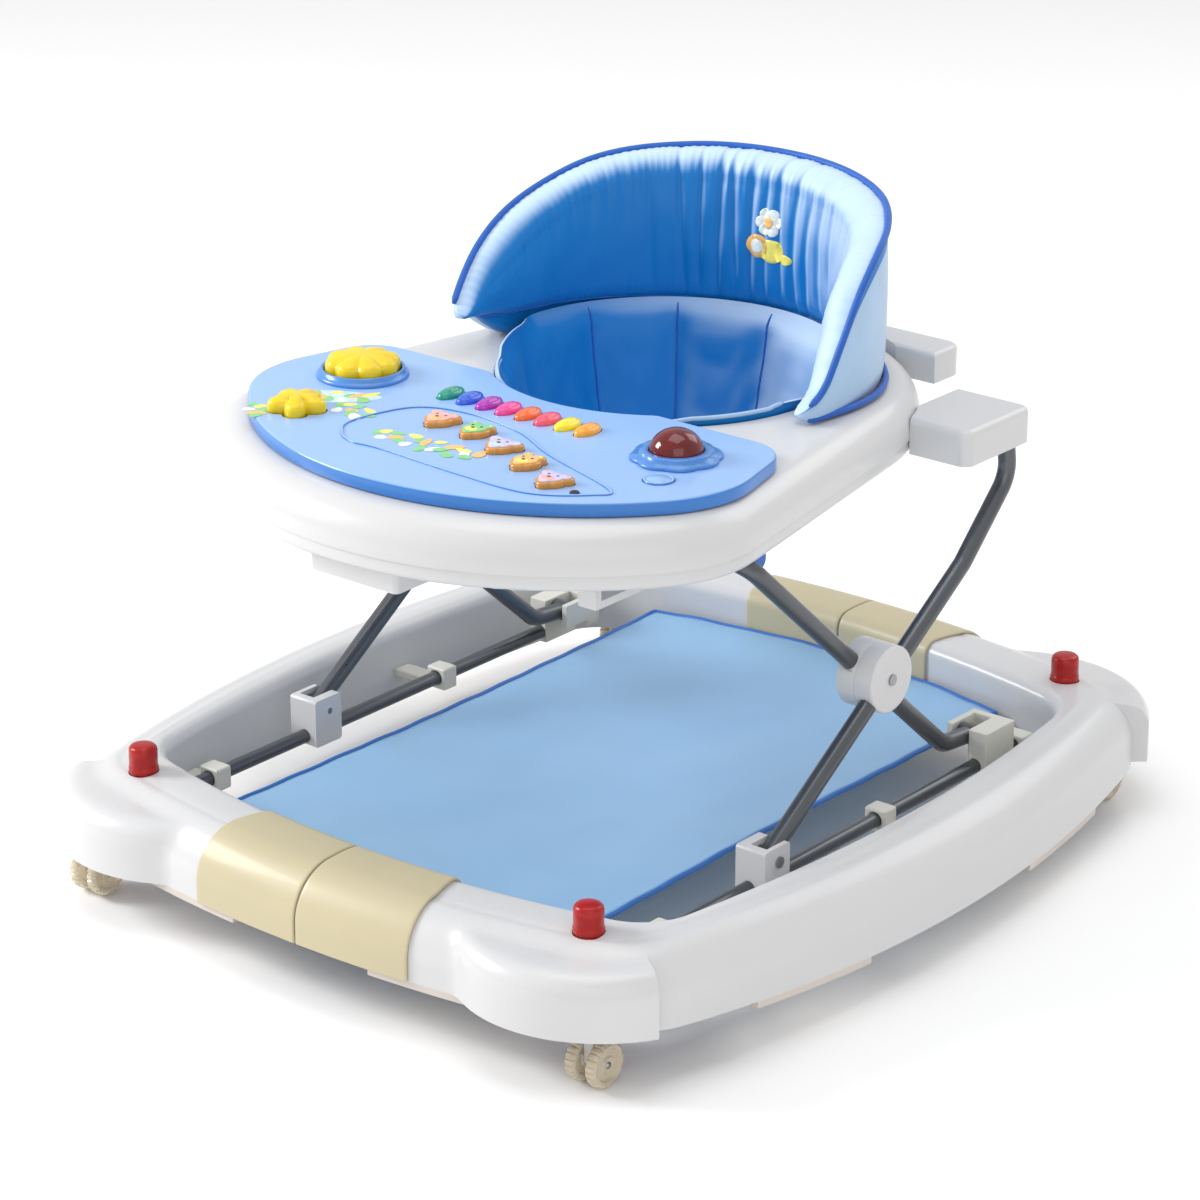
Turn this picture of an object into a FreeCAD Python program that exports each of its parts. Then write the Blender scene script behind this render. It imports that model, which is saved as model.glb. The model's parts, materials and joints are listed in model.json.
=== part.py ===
import FreeCAD, Part
import math
import os

# Baby walker with a folding scissor frame, a rocker base and a toy tray.
# Millimetres, +Z up.  Origin on the floor under the middle of the base.
# The toy tray is at the front, towards -Y, and the seat back towards +Y.

os.makedirs("parts", exist_ok=True)
V = FreeCAD.Vector
X_AXIS = V(1, 0, 0)
Y_AXIS = V(0, 1, 0)
Z_AXIS = V(0, 0, 1)

# ---------------------------------------------------------------- driving sizes
# base ring
BASE_HALF_WIDTH = 372
BASE_HALF_LENGTH = 415
BASE_CORNER = (250, 300)        # centre of the outer corner arc
BASE_CORNER_R = 85
WELL_HALF_WIDTH = 306           # opening inside the ring
WELL_HALF_LENGTH = 334
WELL_CORNER = (235, 255)
WELL_CORNER_R = 50
BASE_TOP = 112
BASE_BOTTOM = 40                # lowest line of the rocker
ROCKER_R = 7000
BASE_OUTER_ROUND = 42
BASE_INNER_ROUND = 12
WALL = 3
SLEEVE_HALF = 118               # half length of the pair of sleeves along X
SLEEVE_WALL = 3
PAD_DROP = 6                    # pads stand this far below the ring
# corner wings that house the casters
WING_TIP = (160, -400)
WING_MID = (272, -412)
WING_END = (334, -352)
WING_TOP = 104
WING_BOTTOM = 50
WING_ROUND = 20
# casters and their red lifting knobs
CASTER = (281, 363)
TRAIL = 8                       # wheel axle stands this far in front of the swivel
WHEEL_R = 20
WHEEL_WIDTH = 11
WHEEL_GAP = 10
KNOB = (250, 340)
KNOB_R = 12.5
KNOB_HEIGHT = 24
ARM_Z = 50                      # arm from knob to caster socket, inside the wing
ARM_R = 5
BOSS_R = 7.5
BOSS_BOTTOM = 42.3
BOSS_TOP = 58
STEM_R = 4
AXLE_R = 2.5
FORK_HALF = 4.5
HOOD_R = 8
# rails and scissor frame
RAIL_X = 253
RAIL_Z = 76
RAIL_R = 6.5
RAIL_FRONT = -280
RAIL_REAR = 272
CLIP_Y = (-250, 52, 262)
CLIP_HALF = 9
SADDLE_HALF = 11
MAT_HALF_LENGTH = 330
MAT_WAIST = 194                 # half width at the middle
MAT_CORNER = (200, 304)
MAT_BOTTOM = 72
MAT_TOP = 75
TUBE_R = 8
TUBE_WALL = 1.2
INNER_BEND = 24
OUTER_BEND = 30
INNER_LEG_X = 237
OUTER_LEG_X = 257
LOWER_HALF = 162                # lower pivots, fore and aft of the hub
UPPER_HALF = 172                # upper pivots, fore and aft of the hub
HUB_Y = 46
HUB_Z = 209
HUB_R = 30
HUB_HALF = 18.5                 # half thickness of the round hub housing
LOWER_Z = 98
CROSS_Z = 359                   # cross run of the inner frame, under the tray
LUG_PIVOT_Z = 386
PIN_R = 3
PIN_HEAD_R = 5
FIT = 0.05                      # gap round a pin or rail that turns or slides
EYE_R = TUBE_R + 1.5            # thickened tube ends round the pins
BLOCK_INNER = 14                # front block, from the rail towards the middle
BLOCK_OUTER = 17                # and towards the ring
# tray
TRAY_CORNER = (158, -172)
TRAY_CORNER_R = 112
TRAY_FRONT = -365
TRAY_REAR_R = 222
SEAT_Y = 68                     # middle of the round rear end and of the seat
TRAY_BOTTOM = 372
TRAY_SPLIT = 386
TRAY_TOP = 424
TRAY_ROUND = 30
HOLE_R = 150
LUG_INNER_X = 190
LUG_FRONT = 142
LUG_TOP = LUG_PIVOT_Z + 20
HANDLE_HALF = 150
HANDLE_FRONT = 262
HANDLE_REAR = 306
GUIDE_X = (168, 186)            # channels for the cross run of the inner frame
LATCH_Z = 349                   # shaft of the height latch
LATCH_R = 4
LATCH_KNOB_R = 10
# toy panel
PANEL_FRONT = -328
PANEL_CORNER = (152, -156)
PANEL_CORNER_R = 98
PANEL_BOTTOM = 425
PANEL_TOP = 437
PANEL_BACK = -58
KEYS = 8
KEY_PITCH = 21.5
KEY_Y = -130
KEY_LENGTH = 30
KEY_WIDTH = 17
BUTTON_BOTTOM = 428.2
BUTTON_GAP = 0.6
BUTTON_RISE = 6                 # top of a plain button above the panel
FLOWER_TOP = 456
STAR_TOP = 450
HEAD_R = 13                     # face of an animal button
CHIN_R = 7
CHIN_DROP = 9
# head centre, ear radius and ear angle of every animal button
ANIMALS = ((-35, -190, 6, 50), (7, -193, 5, 40), (48, -208, 6.5, 60), (90, -226, 5, 30), (133, -245, 6, 55))
FLOWER = (-171, -136)
STAR = (-152, -238)
DOME = (171, -132)
DOME_R = 17
BEZEL_HEIGHT = 4
ROUND_BUTTON = (194, -184)
ROUND_R = 13
BATTERY_BOX = (48, -338, -284)  # half width, front and rear
BATTERY_BOTTOM = 348
CELL_R = 7
CELL_HALF = 25
CELL_Y = (-326, -311, -296)
# seat
BACK_IN = 151
BACK_OUT = 192
BACK_TOP = 582
BACK_ANGLE = 112                # half angle of the padded back
BACK_FRONT_TOP = 468            # height of its two front tips
SLING_BOTTOM = 300
SLING_R = 112
SLING_WALL = 3
LEG_HOLE_R = 38
LEG_HOLE = (52, 62)             # beside and in front of the seat axis


# ---------------------------------------------------------------- helpers
def box(x0, x1, y0, y1, z0, z1):
    return Part.makeBox(x1 - x0, y1 - y0, z1 - z0, V(x0, y0, z0))


def rod(radius, start, end):
    a = V(*start)
    run = V(*end) - a
    return Part.makeCylinder(radius, run.Length, a, run)


def disc(radius, x, y, z0, z1):
    return Part.makeCylinder(radius, z1 - z0, V(x, y, z0), Z_AXIS)


def mirror_x(shape):
    return shape.mirror(V(0, 0, 0), X_AXIS)


def mirror_y(shape):
    return shape.mirror(V(0, 0, 0), Y_AXIS)


def both_sides(shape):
    return [shape, mirror_x(shape)]


def four_corners(shape):
    return both_sides(shape) + both_sides(mirror_y(shape))


def save(name, shapes):
    """Write one node; separate pieces of a node stay separate solids."""
    pieces = shapes if isinstance(shapes, list) else [shapes]
    solids = [solid for piece in pieces for solid in piece.Solids]
    whole = solids[0] if len(solids) == 1 else Part.makeCompound(solids)
    whole.exportStep("parts/" + name + ".step")


def arc(p1, p2, p3):
    return Part.Arc(V(*p1), V(*p2), V(*p3)).toShape()


def line(p1, p2):
    return Part.LineSegment(V(*p1), V(*p2)).toShape()


def on_circle(centre, radius, towards):
    """Point of a circle in the direction of the vector 'towards'."""
    length = math.hypot(towards[0], towards[1])
    return (centre[0] + radius * towards[0] / length, centre[1] + radius * towards[1] / length, 0)


def prism(edges, z0, z1):
    face = Part.Face(Part.Wire(Part.__sortEdges__(edges)))
    face.translate(V(0, 0, z0))
    return face.extrude(V(0, 0, z1 - z0))


def bow_radius(reach, offset, half, corner_r):
    """Radius of the bowed side that is tangent to both of its corner arcs."""
    depth = reach - offset
    return (half ** 2 + depth ** 2 - corner_r ** 2) / (2 * (depth - corner_r))


def bowed_outline(half_x, half_y, corner, corner_r):
    """Closed outline of four corner arcs joined by four gently bowed sides."""
    cx, cy = corner
    side_r = bow_radius(half_x, cx, cy, corner_r)
    end_r = bow_radius(half_y, cy, cx, corner_r)
    side_c = (half_x - side_r, 0)
    end_c = (0, half_y - end_r)
    side_t = on_circle(side_c, side_r, (cx - side_c[0], cy))
    end_t = on_circle(end_c, end_r, (cx, cy - end_c[1]))
    mid = on_circle(corner, corner_r, (side_t[0] - cx + end_t[0] - cx, side_t[1] - cy + end_t[1] - cy))
    edges = []
    for sx in (1, -1):
        edges.append(arc((sx * side_t[0], -side_t[1], 0), (sx * half_x, 0, 0), (sx * side_t[0], side_t[1], 0)))
        for sy in (1, -1):
            a, m, b = [(sx * p[0], sy * p[1], 0) for p in (side_t, mid, end_t)]
            edges.append(arc(a, m, b))
    for sy in (1, -1):
        edges.append(arc((end_t[0], sy * end_t[1], 0), (0, sy * half_y, 0), (-end_t[0], sy * end_t[1], 0)))
    return edges


def pear_outline(corner, corner_r, front, rear_r):
    """Tray outline: bowed front, round corners, straight flanks, round rear end."""
    cx, cy = corner
    front_r = bow_radius(-front, -cy, cx, corner_r)
    front_c = (0, front + front_r)
    front_t = on_circle(front_c, front_r, (cx, cy - front_c[1]))
    rear_c = (0, SEAT_Y)
    dx, dy = rear_c[0] - cx, rear_c[1] - cy
    gap = math.hypot(dx, dy)
    along = (corner_r - rear_r) / gap
    across = math.sqrt(1 - along ** 2)
    normal = (along * dx / gap + across * dy / gap, along * dy / gap - across * dx / gap)
    flank_a = on_circle(corner, corner_r, normal)
    flank_b = on_circle(rear_c, rear_r, normal)
    mid = on_circle(corner, corner_r, (normal[0] + 0.3, normal[1] - 1))
    edges = [arc((front_t[0], front_t[1], 0), (0, front, 0), (-front_t[0], front_t[1], 0))]
    edges.append(arc(flank_b, (0, SEAT_Y + rear_r, 0), (-flank_b[0], flank_b[1], 0)))
    for s in (1, -1):
        a, m, b, c = [(s * p[0], p[1], 0) for p in (front_t, mid, flank_a, flank_b)]
        edges.append(arc(a, m, b))
        edges.append(line(b, c))
    return edges


def rim_edges(shape, z, keep):
    """Edges of a shape that lie flat at height z and pass the test 'keep'."""
    found = []
    for edge in shape.Edges:
        b = edge.BoundBox
        if abs(b.ZMin - z) < 0.01 and abs(b.ZMax - z) < 0.01 and keep(b):
            found.append(edge)
    return found


def bent_bar(points, radius, bend):
    """Round bar along straight runs joined by tangent arcs."""
    pts = [V(*p) for p in points]
    edges = []
    last = pts[0]
    for before, here, after in zip(pts, pts[1:], pts[2:]):
        a = (before - here).normalize()
        b = (after - here).normalize()
        half = a.getAngle(b) / 2
        back = bend / math.tan(half)
        start = here + a * back
        end = here + b * back
        centre = here + (a + b).normalize() * (bend / math.sin(half))
        middle = centre + (here - centre).normalize() * bend
        edges.append(Part.LineSegment(last, start).toShape())
        edges.append(Part.Arc(start, middle, end).toShape())
        last = end
    edges.append(Part.LineSegment(last, pts[-1]).toShape())
    path = Part.Wire(edges)
    ring = Part.Wire(Part.makeCircle(radius, pts[0], pts[1] - pts[0]))
    return path.makePipeShell([ring], True, False)


def bored(bar, points, bend):
    """The bar made into a tube."""
    return bar.cut(bent_bar(points, TUBE_R - TUBE_WALL, bend))


# ---------------------------------------------------------------- base ring
def ring_block(grow, top):
    """Solid ring; grow moves its outline out and its well in by the same amount."""
    outer = prism(bowed_outline(BASE_HALF_WIDTH + grow, BASE_HALF_LENGTH + grow,
                                BASE_CORNER, BASE_CORNER_R + grow), 0, top)
    outer = outer.makeFillet(BASE_OUTER_ROUND + grow, rim_edges(outer, top, lambda b: True))
    well = prism(bowed_outline(WELL_HALF_WIDTH - grow, WELL_HALF_LENGTH - grow,
                               WELL_CORNER, WELL_CORNER_R - grow), -10, top + 10)
    ring = outer.cut(well)
    limit = WELL_HALF_LENGTH + 1
    inner = rim_edges(ring, top, lambda b: abs(b.YMin) < limit and abs(b.YMax) < limit
                      and max(abs(b.XMin), abs(b.XMax)) < WELL_HALF_WIDTH + 1)
    return ring.makeFillet(BASE_INNER_ROUND + grow, inner)


def wing_block(shrink):
    """Bulging caster housing on the front right corner: pointed tip, blunt end."""
    tip, mid = [(p[0], p[1] + shrink, 0) for p in (WING_TIP, WING_MID)]
    end = (WING_END[0] - 1.5 * shrink, WING_END[1] - 0.35 * shrink, 0)
    inner = (end[0] - 60, end[1] + 30, 0)
    edges = [arc(tip, mid, end), line(end, inner), line(inner, tip)]
    top = WING_TOP - shrink
    wing = prism(edges, WING_BOTTOM - 10, top)
    outer = rim_edges(wing, top, lambda b: b.YMin < min(end[1] - 1, WING_TIP[1]) and b.YMax - b.YMin > 50)
    return wing.makeFillet(WING_ROUND - shrink, outer)


def rocker_cutter(lift):
    """Everything below the shallow rocker curve."""
    below = box(-500, 500, -500, 500, -60, 90)
    drum = Part.makeCylinder(ROCKER_R, 1000, V(-500, 0, BASE_BOTTOM + lift + ROCKER_R), X_AXIS)
    return below.cut(drum)


def build_base():
    outer = ring_block(0, BASE_TOP)
    hollow = ring_block(-WALL, BASE_TOP - WALL)
    for sy in (1, -1):
        wings = both_sides(wing_block(0) if sy == 1 else mirror_y(wing_block(0)))
        rooms = both_sides(wing_block(WALL) if sy == 1 else mirror_y(wing_block(WALL)))
        outer = outer.fuse(wings)
        hollow = hollow.fuse(rooms)
    shell = outer.cut(hollow).cut(rocker_cutter(0))
    for hole in four_corners(disc(KNOB_R + 1, KNOB[0], KNOB[1], BASE_TOP - 20, BASE_TOP + 10)):
        shell = shell.cut(hole)
    right = shell.common(box(0.2, 500, -500, 500, 0, 200))
    save("base_shell_right", right)
    save("base_shell_left", mirror_x(right))

    cover = ring_block(SLEEVE_WALL, BASE_TOP + SLEEVE_WALL)
    cover = cover.cut(ring_block(0.1, BASE_TOP + 0.1)).cut(rocker_cutter(-1))
    half = cover.common(box(0.4, SLEEVE_HALF, -500, 0, 0, 200))
    save("front_sleeves", both_sides(half))
    save("rear_sleeves", both_sides(mirror_y(half)))

    # pads wedged in the underside of the ring meet the floor when the casters are lifted
    solid_ring = ring_block(-0.05, BASE_TOP)
    end_pad = box(76, 198, -412, -352, 20, 62).common(solid_ring).cut(rocker_cutter(-PAD_DROP))
    side_pad = box(334, 372, -246, -116, 20, 56).common(solid_ring).cut(rocker_cutter(-PAD_DROP))
    pads = [pad.cut(shell) for pad in four_corners(end_pad) + four_corners(side_pad)]
    save("friction_pads", [max(pad.Solids, key=lambda solid: solid.Volume) for pad in pads])


# ---------------------------------------------------------------- casters
def corner_name(sx, sy):
    return ("front" if sy < 0 else "rear") + "_" + ("right" if sx > 0 else "left")


def build_casters():
    for sx in (1, -1):
        for sy in (-1, 1):
            name = corner_name(sx, sy)
            kx, ky = sx * KNOB[0], sy * KNOB[1]
            cx, cy = sx * CASTER[0], sy * CASTER[1]
            knob = disc(KNOB_R, kx, ky, ARM_Z - 7, BASE_TOP + KNOB_HEIGHT)
            knob = knob.makeFillet(4, rim_edges(knob, BASE_TOP + KNOB_HEIGHT, lambda b: True))
            boss = disc(BOSS_R, cx, cy, BOSS_BOTTOM, BOSS_TOP)
            arm = rod(ARM_R, (kx, ky, ARM_Z), (cx, cy, ARM_Z))
            lift = knob.fuse([boss, arm]).cut(disc(STEM_R + FIT, cx, cy, BOSS_BOTTOM - 5, BOSS_TOP - 2))
            save("caster_lift_" + name, lift)

            ax = cy - TRAIL
            stem = disc(STEM_R, cx, cy, 36, BOSS_TOP - 2.3)
            body = box(cx - FORK_HALF, cx + FORK_HALF, ax - 7, cy + 7, 17, 41)
            body = body.makeFillet(4, [e for e in body.Edges if e.BoundBox.XLength > 8])
            hood = disc(HOOD_R, cx, cy, 2 * WHEEL_R + 0.4, BOSS_BOTTOM - 0.3)
            fork = body.fuse([stem, hood])
            fork = fork.cut(rod(AXLE_R + FIT, (cx - 9, ax, WHEEL_R), (cx + 9, ax, WHEEL_R)))
            save("caster_fork_" + name, fork)

            axle = rod(AXLE_R, (cx - WHEEL_GAP / 2 - WHEEL_WIDTH, ax, WHEEL_R),
                       (cx + WHEEL_GAP / 2 + WHEEL_WIDTH, ax, WHEEL_R))
            wheels = [axle]
            for side in (1, -1):
                inner = cx + side * WHEEL_GAP / 2
                tyre = rod(WHEEL_R, (inner, ax, WHEEL_R), (inner + side * WHEEL_WIDTH, ax, WHEEL_R))
                tyre = tyre.makeFillet(2.5, [e for e in tyre.Edges if e.BoundBox.XLength < 0.01])
                wheels.append(tyre)
            save("caster_wheels_" + name, wheels[0].fuse(wheels[1:]))


# ---------------------------------------------------------------- rails and mat
def build_rails():
    save("side_rails", both_sides(rod(RAIL_R, (RAIL_X, RAIL_FRONT, RAIL_Z), (RAIL_X, RAIL_REAR, RAIL_Z))))
    clips = []
    well = prism(bowed_outline(WELL_HALF_WIDTH, WELL_HALF_LENGTH, WELL_CORNER, WELL_CORNER_R), 0, BASE_TOP)
    for y in CLIP_Y:
        saddle = box(RAIL_X - SADDLE_HALF, RAIL_X + SADDLE_HALF, y - CLIP_HALF, y + CLIP_HALF,
                     RAIL_Z - 11, RAIL_Z + 10)
        foot = box(RAIL_X, well_wall(y) + 1, y - CLIP_HALF, y + CLIP_HALF, RAIL_Z - 11, RAIL_Z - 4)
        foot = foot.common(well)
        clip = saddle.fuse(foot).cut(rod(RAIL_R + FIT, (RAIL_X, y - 20, RAIL_Z), (RAIL_X, y + 20, RAIL_Z)))
        clips.extend(both_sides(clip))
    save("rail_clips", clips)

    brackets = []
    rear_y = HUB_Y + LOWER_HALF
    saddle = box(RAIL_X - 7.4, RAIL_X + 12, rear_y - 14, rear_y + 30, RAIL_Z - 10, LOWER_Z + 11)
    saddle = saddle.cut(rod(RAIL_R + FIT, (RAIL_X, rear_y - 40, RAIL_Z), (RAIL_X, rear_y + 60, RAIL_Z)))
    inner_x = INNER_LEG_X - TUBE_R - 1
    stub = rod(PIN_R, (inner_x - 6, rear_y, LOWER_Z), (RAIL_X, rear_y, LOWER_Z))
    cheek = box(inner_x - 7, inner_x - 1, rear_y - 12, rear_y + 30, LOWER_Z - 12, LOWER_Z + 11)
    bridge = box(inner_x - 7, RAIL_X, rear_y + 22, rear_y + 30, LOWER_Z - 8, LOWER_Z + 11)
    save("rear_pivot_brackets", both_sides(saddle.fuse([stub, cheek, bridge])))


def well_wall(y):
    """Half width of the well at a place along the side."""
    side_r = bow_radius(WELL_HALF_WIDTH, WELL_CORNER[0], WELL_CORNER[1], WELL_CORNER_R)
    if abs(y) > WELL_CORNER[1]:
        dy = abs(y) - WELL_CORNER[1]
        return WELL_CORNER[0] + math.sqrt(WELL_CORNER_R ** 2 - dy ** 2)
    return WELL_HALF_WIDTH - side_r + math.sqrt(side_r ** 2 - y ** 2)


def build_mat():
    x, y = MAT_CORNER
    edges = []
    for s in (1, -1):
        edges.append(arc((s * x, -y, 0), (s * MAT_WAIST, 0, 0), (s * x, y, 0)))
        edges.append(arc((-x, s * y, 0), (0, s * MAT_HALF_LENGTH, 0), (x, s * y, 0)))
    save("foot_mat", prism(edges, MAT_BOTTOM, MAT_TOP))


# ---------------------------------------------------------------- scissor frame
def build_scissor():
    front_y, rear_y = HUB_Y - LOWER_HALF, HUB_Y + LOWER_HALF
    x = INNER_LEG_X
    cross_y = HUB_Y - UPPER_HALF
    side = [(x, rear_y, LOWER_Z), (x, rear_y - 42, LOWER_Z + 4), (x, HUB_Y, HUB_Z - 2), (x, cross_y, CROSS_Z)]
    path = side + [(-p[0], p[1], p[2]) for p in reversed(side)]
    bar = bent_bar(path, TUBE_R, INNER_BEND)
    eyes = both_sides(rod(EYE_R, (x - TUBE_R, rear_y, LOWER_Z), (x + TUBE_R, rear_y, LOWER_Z)))
    holes = both_sides(rod(PIN_R + FIT, (x - 20, rear_y, LOWER_Z), (x + 20, rear_y, LOWER_Z)))
    hub_holes = both_sides(rod(PIN_R + FIT, (x - 20, HUB_Y, HUB_Z), (x + 40, HUB_Y, HUB_Z)))
    frame = bored(bar, path, INNER_BEND).fuse(eyes).cut(holes[0]).cut(holes[1])
    mid_x = (INNER_LEG_X + OUTER_LEG_X) / 2
    inner_hub = rod(HUB_R, (mid_x - HUB_HALF, HUB_Y, HUB_Z), (mid_x - 0.15, HUB_Y, HUB_Z))
    frame = frame.cut(hub_holes[0]).cut(hub_holes[1])
    save("leg_frame_inner", frame)
    save("hub_housings_inner", both_sides(inner_hub.cut(bar).cut(hub_holes[0])))

    x = OUTER_LEG_X
    lug_y = HUB_Y + UPPER_HALF
    path = [(x, front_y, LOWER_Z), (x, HUB_Y, HUB_Z - 3), (x, 158, 280), (x, lug_y + 6, 344),
            (x, lug_y, LUG_PIVOT_Z)]
    bar = bent_bar(path, TUBE_R, OUTER_BEND)
    leg = bored(bar, path, OUTER_BEND)
    for pivot in ((front_y, LOWER_Z), (lug_y, LUG_PIVOT_Z)):
        leg = leg.fuse(rod(EYE_R, (x - TUBE_R, pivot[0], pivot[1]), (x + TUBE_R, pivot[0], pivot[1])))
        leg = leg.cut(rod(PIN_R + FIT, (x - 20, pivot[0], pivot[1]), (x + 20, pivot[0], pivot[1])))
    leg = leg.cut(hub_holes[0])
    outer_hub = rod(HUB_R, (mid_x + 0.15, HUB_Y, HUB_Z), (mid_x + HUB_HALF, HUB_Y, HUB_Z))
    hub_face = mid_x + HUB_HALF
    outer_hub = outer_hub.makeFillet(2, [e for e in outer_hub.Edges if e.BoundBox.XMin > hub_face - 0.5])
    save("leg_tubes_outer", both_sides(leg))
    save("hub_housings_outer", both_sides(outer_hub.cut(bar).cut(hub_holes[0])))
    face_x = hub_face + 0.1
    back_x = mid_x - HUB_HALF
    bolt = rod(PIN_R, (back_x, HUB_Y, HUB_Z), (face_x, HUB_Y, HUB_Z))
    bolt = bolt.fuse(rod(PIN_HEAD_R, (face_x, HUB_Y, HUB_Z), (face_x + 1.5, HUB_Y, HUB_Z)))
    bolt = bolt.fuse(rod(6, (back_x - 3, HUB_Y, HUB_Z), (back_x, HUB_Y, HUB_Z)))
    save("hub_bolts", both_sides(bolt))

    # front blocks ride on the rails and carry the lower ends of the outer legs
    near_x, far_x = RAIL_X - BLOCK_INNER, RAIL_X + BLOCK_OUTER
    block = box(near_x, far_x, front_y - 19, front_y + 15, RAIL_Z - 9, LOWER_Z + 14)
    block = block.makeFillet(3, [e for e in block.Edges if e.BoundBox.XLength > 20])
    slot = box(x - TUBE_R - 0.5, x + TUBE_R + 0.5, front_y - 11, front_y + 40, LOWER_Z - 11, LOWER_Z + 40)
    block = block.cut(slot)
    block = block.cut(rod(RAIL_R + FIT, (RAIL_X, front_y - 30, RAIL_Z), (RAIL_X, front_y + 30, RAIL_Z)))
    pin = rod(PIN_R, (near_x, front_y, LOWER_Z), (far_x, front_y, LOWER_Z))
    block = block.cut(pin)
    head = rod(PIN_HEAD_R, (far_x, front_y, LOWER_Z), (far_x + 2, front_y, LOWER_Z))
    save("front_slide_blocks", both_sides(block))
    save("front_pivot_pins", both_sides(pin.fuse(head)))


# ---------------------------------------------------------------- tray
def tray_block(grow, z0, z1, front_only=False):
    return prism(pear_outline(TRAY_CORNER, TRAY_CORNER_R + grow, TRAY_FRONT - grow, TRAY_REAR_R + grow), z0, z1)


def build_tray():
    hole = disc(HOLE_R, 0, SEAT_Y, 300, 500)
    outer = tray_block(0, TRAY_SPLIT, TRAY_TOP)
    outer = outer.makeFillet(TRAY_ROUND, rim_edges(outer, TRAY_TOP, lambda b: True))
    hollow = tray_block(-WALL, TRAY_SPLIT - 1, TRAY_TOP - WALL)
    hollow = hollow.makeFillet(TRAY_ROUND - WALL, rim_edges(hollow, TRAY_TOP - WALL, lambda b: True))
    collar = disc(HOLE_R + WALL, 0, SEAT_Y, TRAY_SPLIT, TRAY_TOP)
    upper = outer.cut(hollow).fuse(collar.common(outer)).cut(hole)

    lower = tray_block(-1.5, TRAY_BOTTOM, TRAY_SPLIT)
    lower = lower.makeFillet(6, rim_edges(lower, TRAY_BOTTOM, lambda b: True))
    room = tray_block(-WALL - 6, TRAY_BOTTOM + WALL, TRAY_SPLIT + 1)
    lower = lower.cut(room).fuse(disc(HOLE_R + WALL, 0, SEAT_Y, TRAY_BOTTOM, TRAY_SPLIT)).cut(hole)

    # rear lugs take the upper ends of the outer legs from below
    lug_y = HUB_Y + UPPER_HALF
    x = OUTER_LEG_X
    lug = box(LUG_INNER_X, x + 13, LUG_FRONT, lug_y + 22, TRAY_BOTTOM + 2, LUG_TOP)
    lug = lug.makeFillet(10, [e for e in lug.Edges if e.BoundBox.ZLength > 20 and e.BoundBox.XMin > 200])
    lug = lug.makeFillet(6, rim_edges(lug, LUG_TOP, lambda b: True))
    slot = box(x - TUBE_R - 1, x + TUBE_R + 1, 150, lug_y + 13, 300, LUG_PIVOT_Z + 13)
    inside = tray_block(0, 300, 500)
    lug = lug.cut(slot).cut(inside)
    stub = rod(PIN_R, (x - TUBE_R - 1, lug_y, LUG_PIVOT_Z), (x + TUBE_R + 1, lug_y, LUG_PIVOT_Z))
    lug = lug.fuse(stub)
    save("rear_lugs", both_sides(lug))

    handle = box(-HANDLE_HALF, HANDLE_HALF, HANDLE_FRONT, HANDLE_REAR, TRAY_SPLIT + 8, TRAY_TOP - 2)
    upright = [e for e in handle.Edges if e.BoundBox.ZLength > 20 and e.BoundBox.YMin > HANDLE_REAR - 6]
    handle = handle.makeFillet(14, upright)
    handle = handle.makeFillet(5, rim_edges(handle, TRAY_TOP - 2, lambda b: True))
    handle = handle.cut(tray_block(0, 300, 500))
    save("rear_handle", handle)
    save("tray_top_shell", upper)
    save("tray_bottom_shell", lower)

    # channels under the tray in which the cross run of the inner frame slides
    cross_y = HUB_Y - UPPER_HALF
    channel = box(GUIDE_X[0], GUIDE_X[1], cross_y - 128, cross_y + 24, CROSS_Z - 16, TRAY_BOTTOM)
    window = box(GUIDE_X[0] - 8, GUIDE_X[1] + 14, cross_y - 120, cross_y + 14, CROSS_Z - 9.5, TRAY_BOTTOM + 1)
    save("frame_guides", both_sides(channel.cut(window)))

    # height latch under the right flank: paddle, shaft and round knob
    y = cross_y + 34
    paddle = box(190, 208, y - 6, y + 40, LATCH_Z - 3, LATCH_Z + 3)
    paddle = paddle.makeFillet(2, paddle.Edges)
    latch = paddle.fuse(rod(LATCH_R, (192, y, LATCH_Z), (224, y, LATCH_Z)))
    latch = latch.fuse(rod(LATCH_KNOB_R, (219, y, LATCH_Z), (226, y, LATCH_Z)))
    save("height_lever", latch)
    hanger = box(210, 217, y - 7, y + 7, LATCH_Z - 7, TRAY_BOTTOM)
    save("lever_bracket", hanger.cut(rod(LATCH_R + FIT, (200, y, LATCH_Z), (230, y, LATCH_Z))))


# ---------------------------------------------------------------- toy panel
def key_solid(x, grow, z0, z1):
    """Petal-shaped key: an oval prism, long fore and aft."""
    oval = Part.Ellipse(V(0, 0, 0), KEY_LENGTH / 2 + grow, KEY_WIDTH / 2 + grow).toShape()
    petal = Part.Face(Part.Wire(oval)).extrude(V(0, 0, z1 - z0))
    petal.rotate(V(0, 0, 0), Z_AXIS, 90)
    petal.translate(V(x, KEY_Y, z0))
    return petal


def lobed_solid(centre, radius, lobes, lobe_r, grow, z0, z1):
    """Flower or star button: a disc with round lobes on its edge."""
    x, y = centre
    solid = disc(radius + grow, x, y, z0, z1)
    for i in range(lobes):
        turn = 2 * math.pi * (i + 0.25) / lobes
        lobe = (x + radius * math.cos(turn), y + radius * math.sin(turn))
        solid = solid.fuse(disc(lobe_r + grow, lobe[0], lobe[1], z0, z1))
    return solid.removeSplitter()


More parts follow.
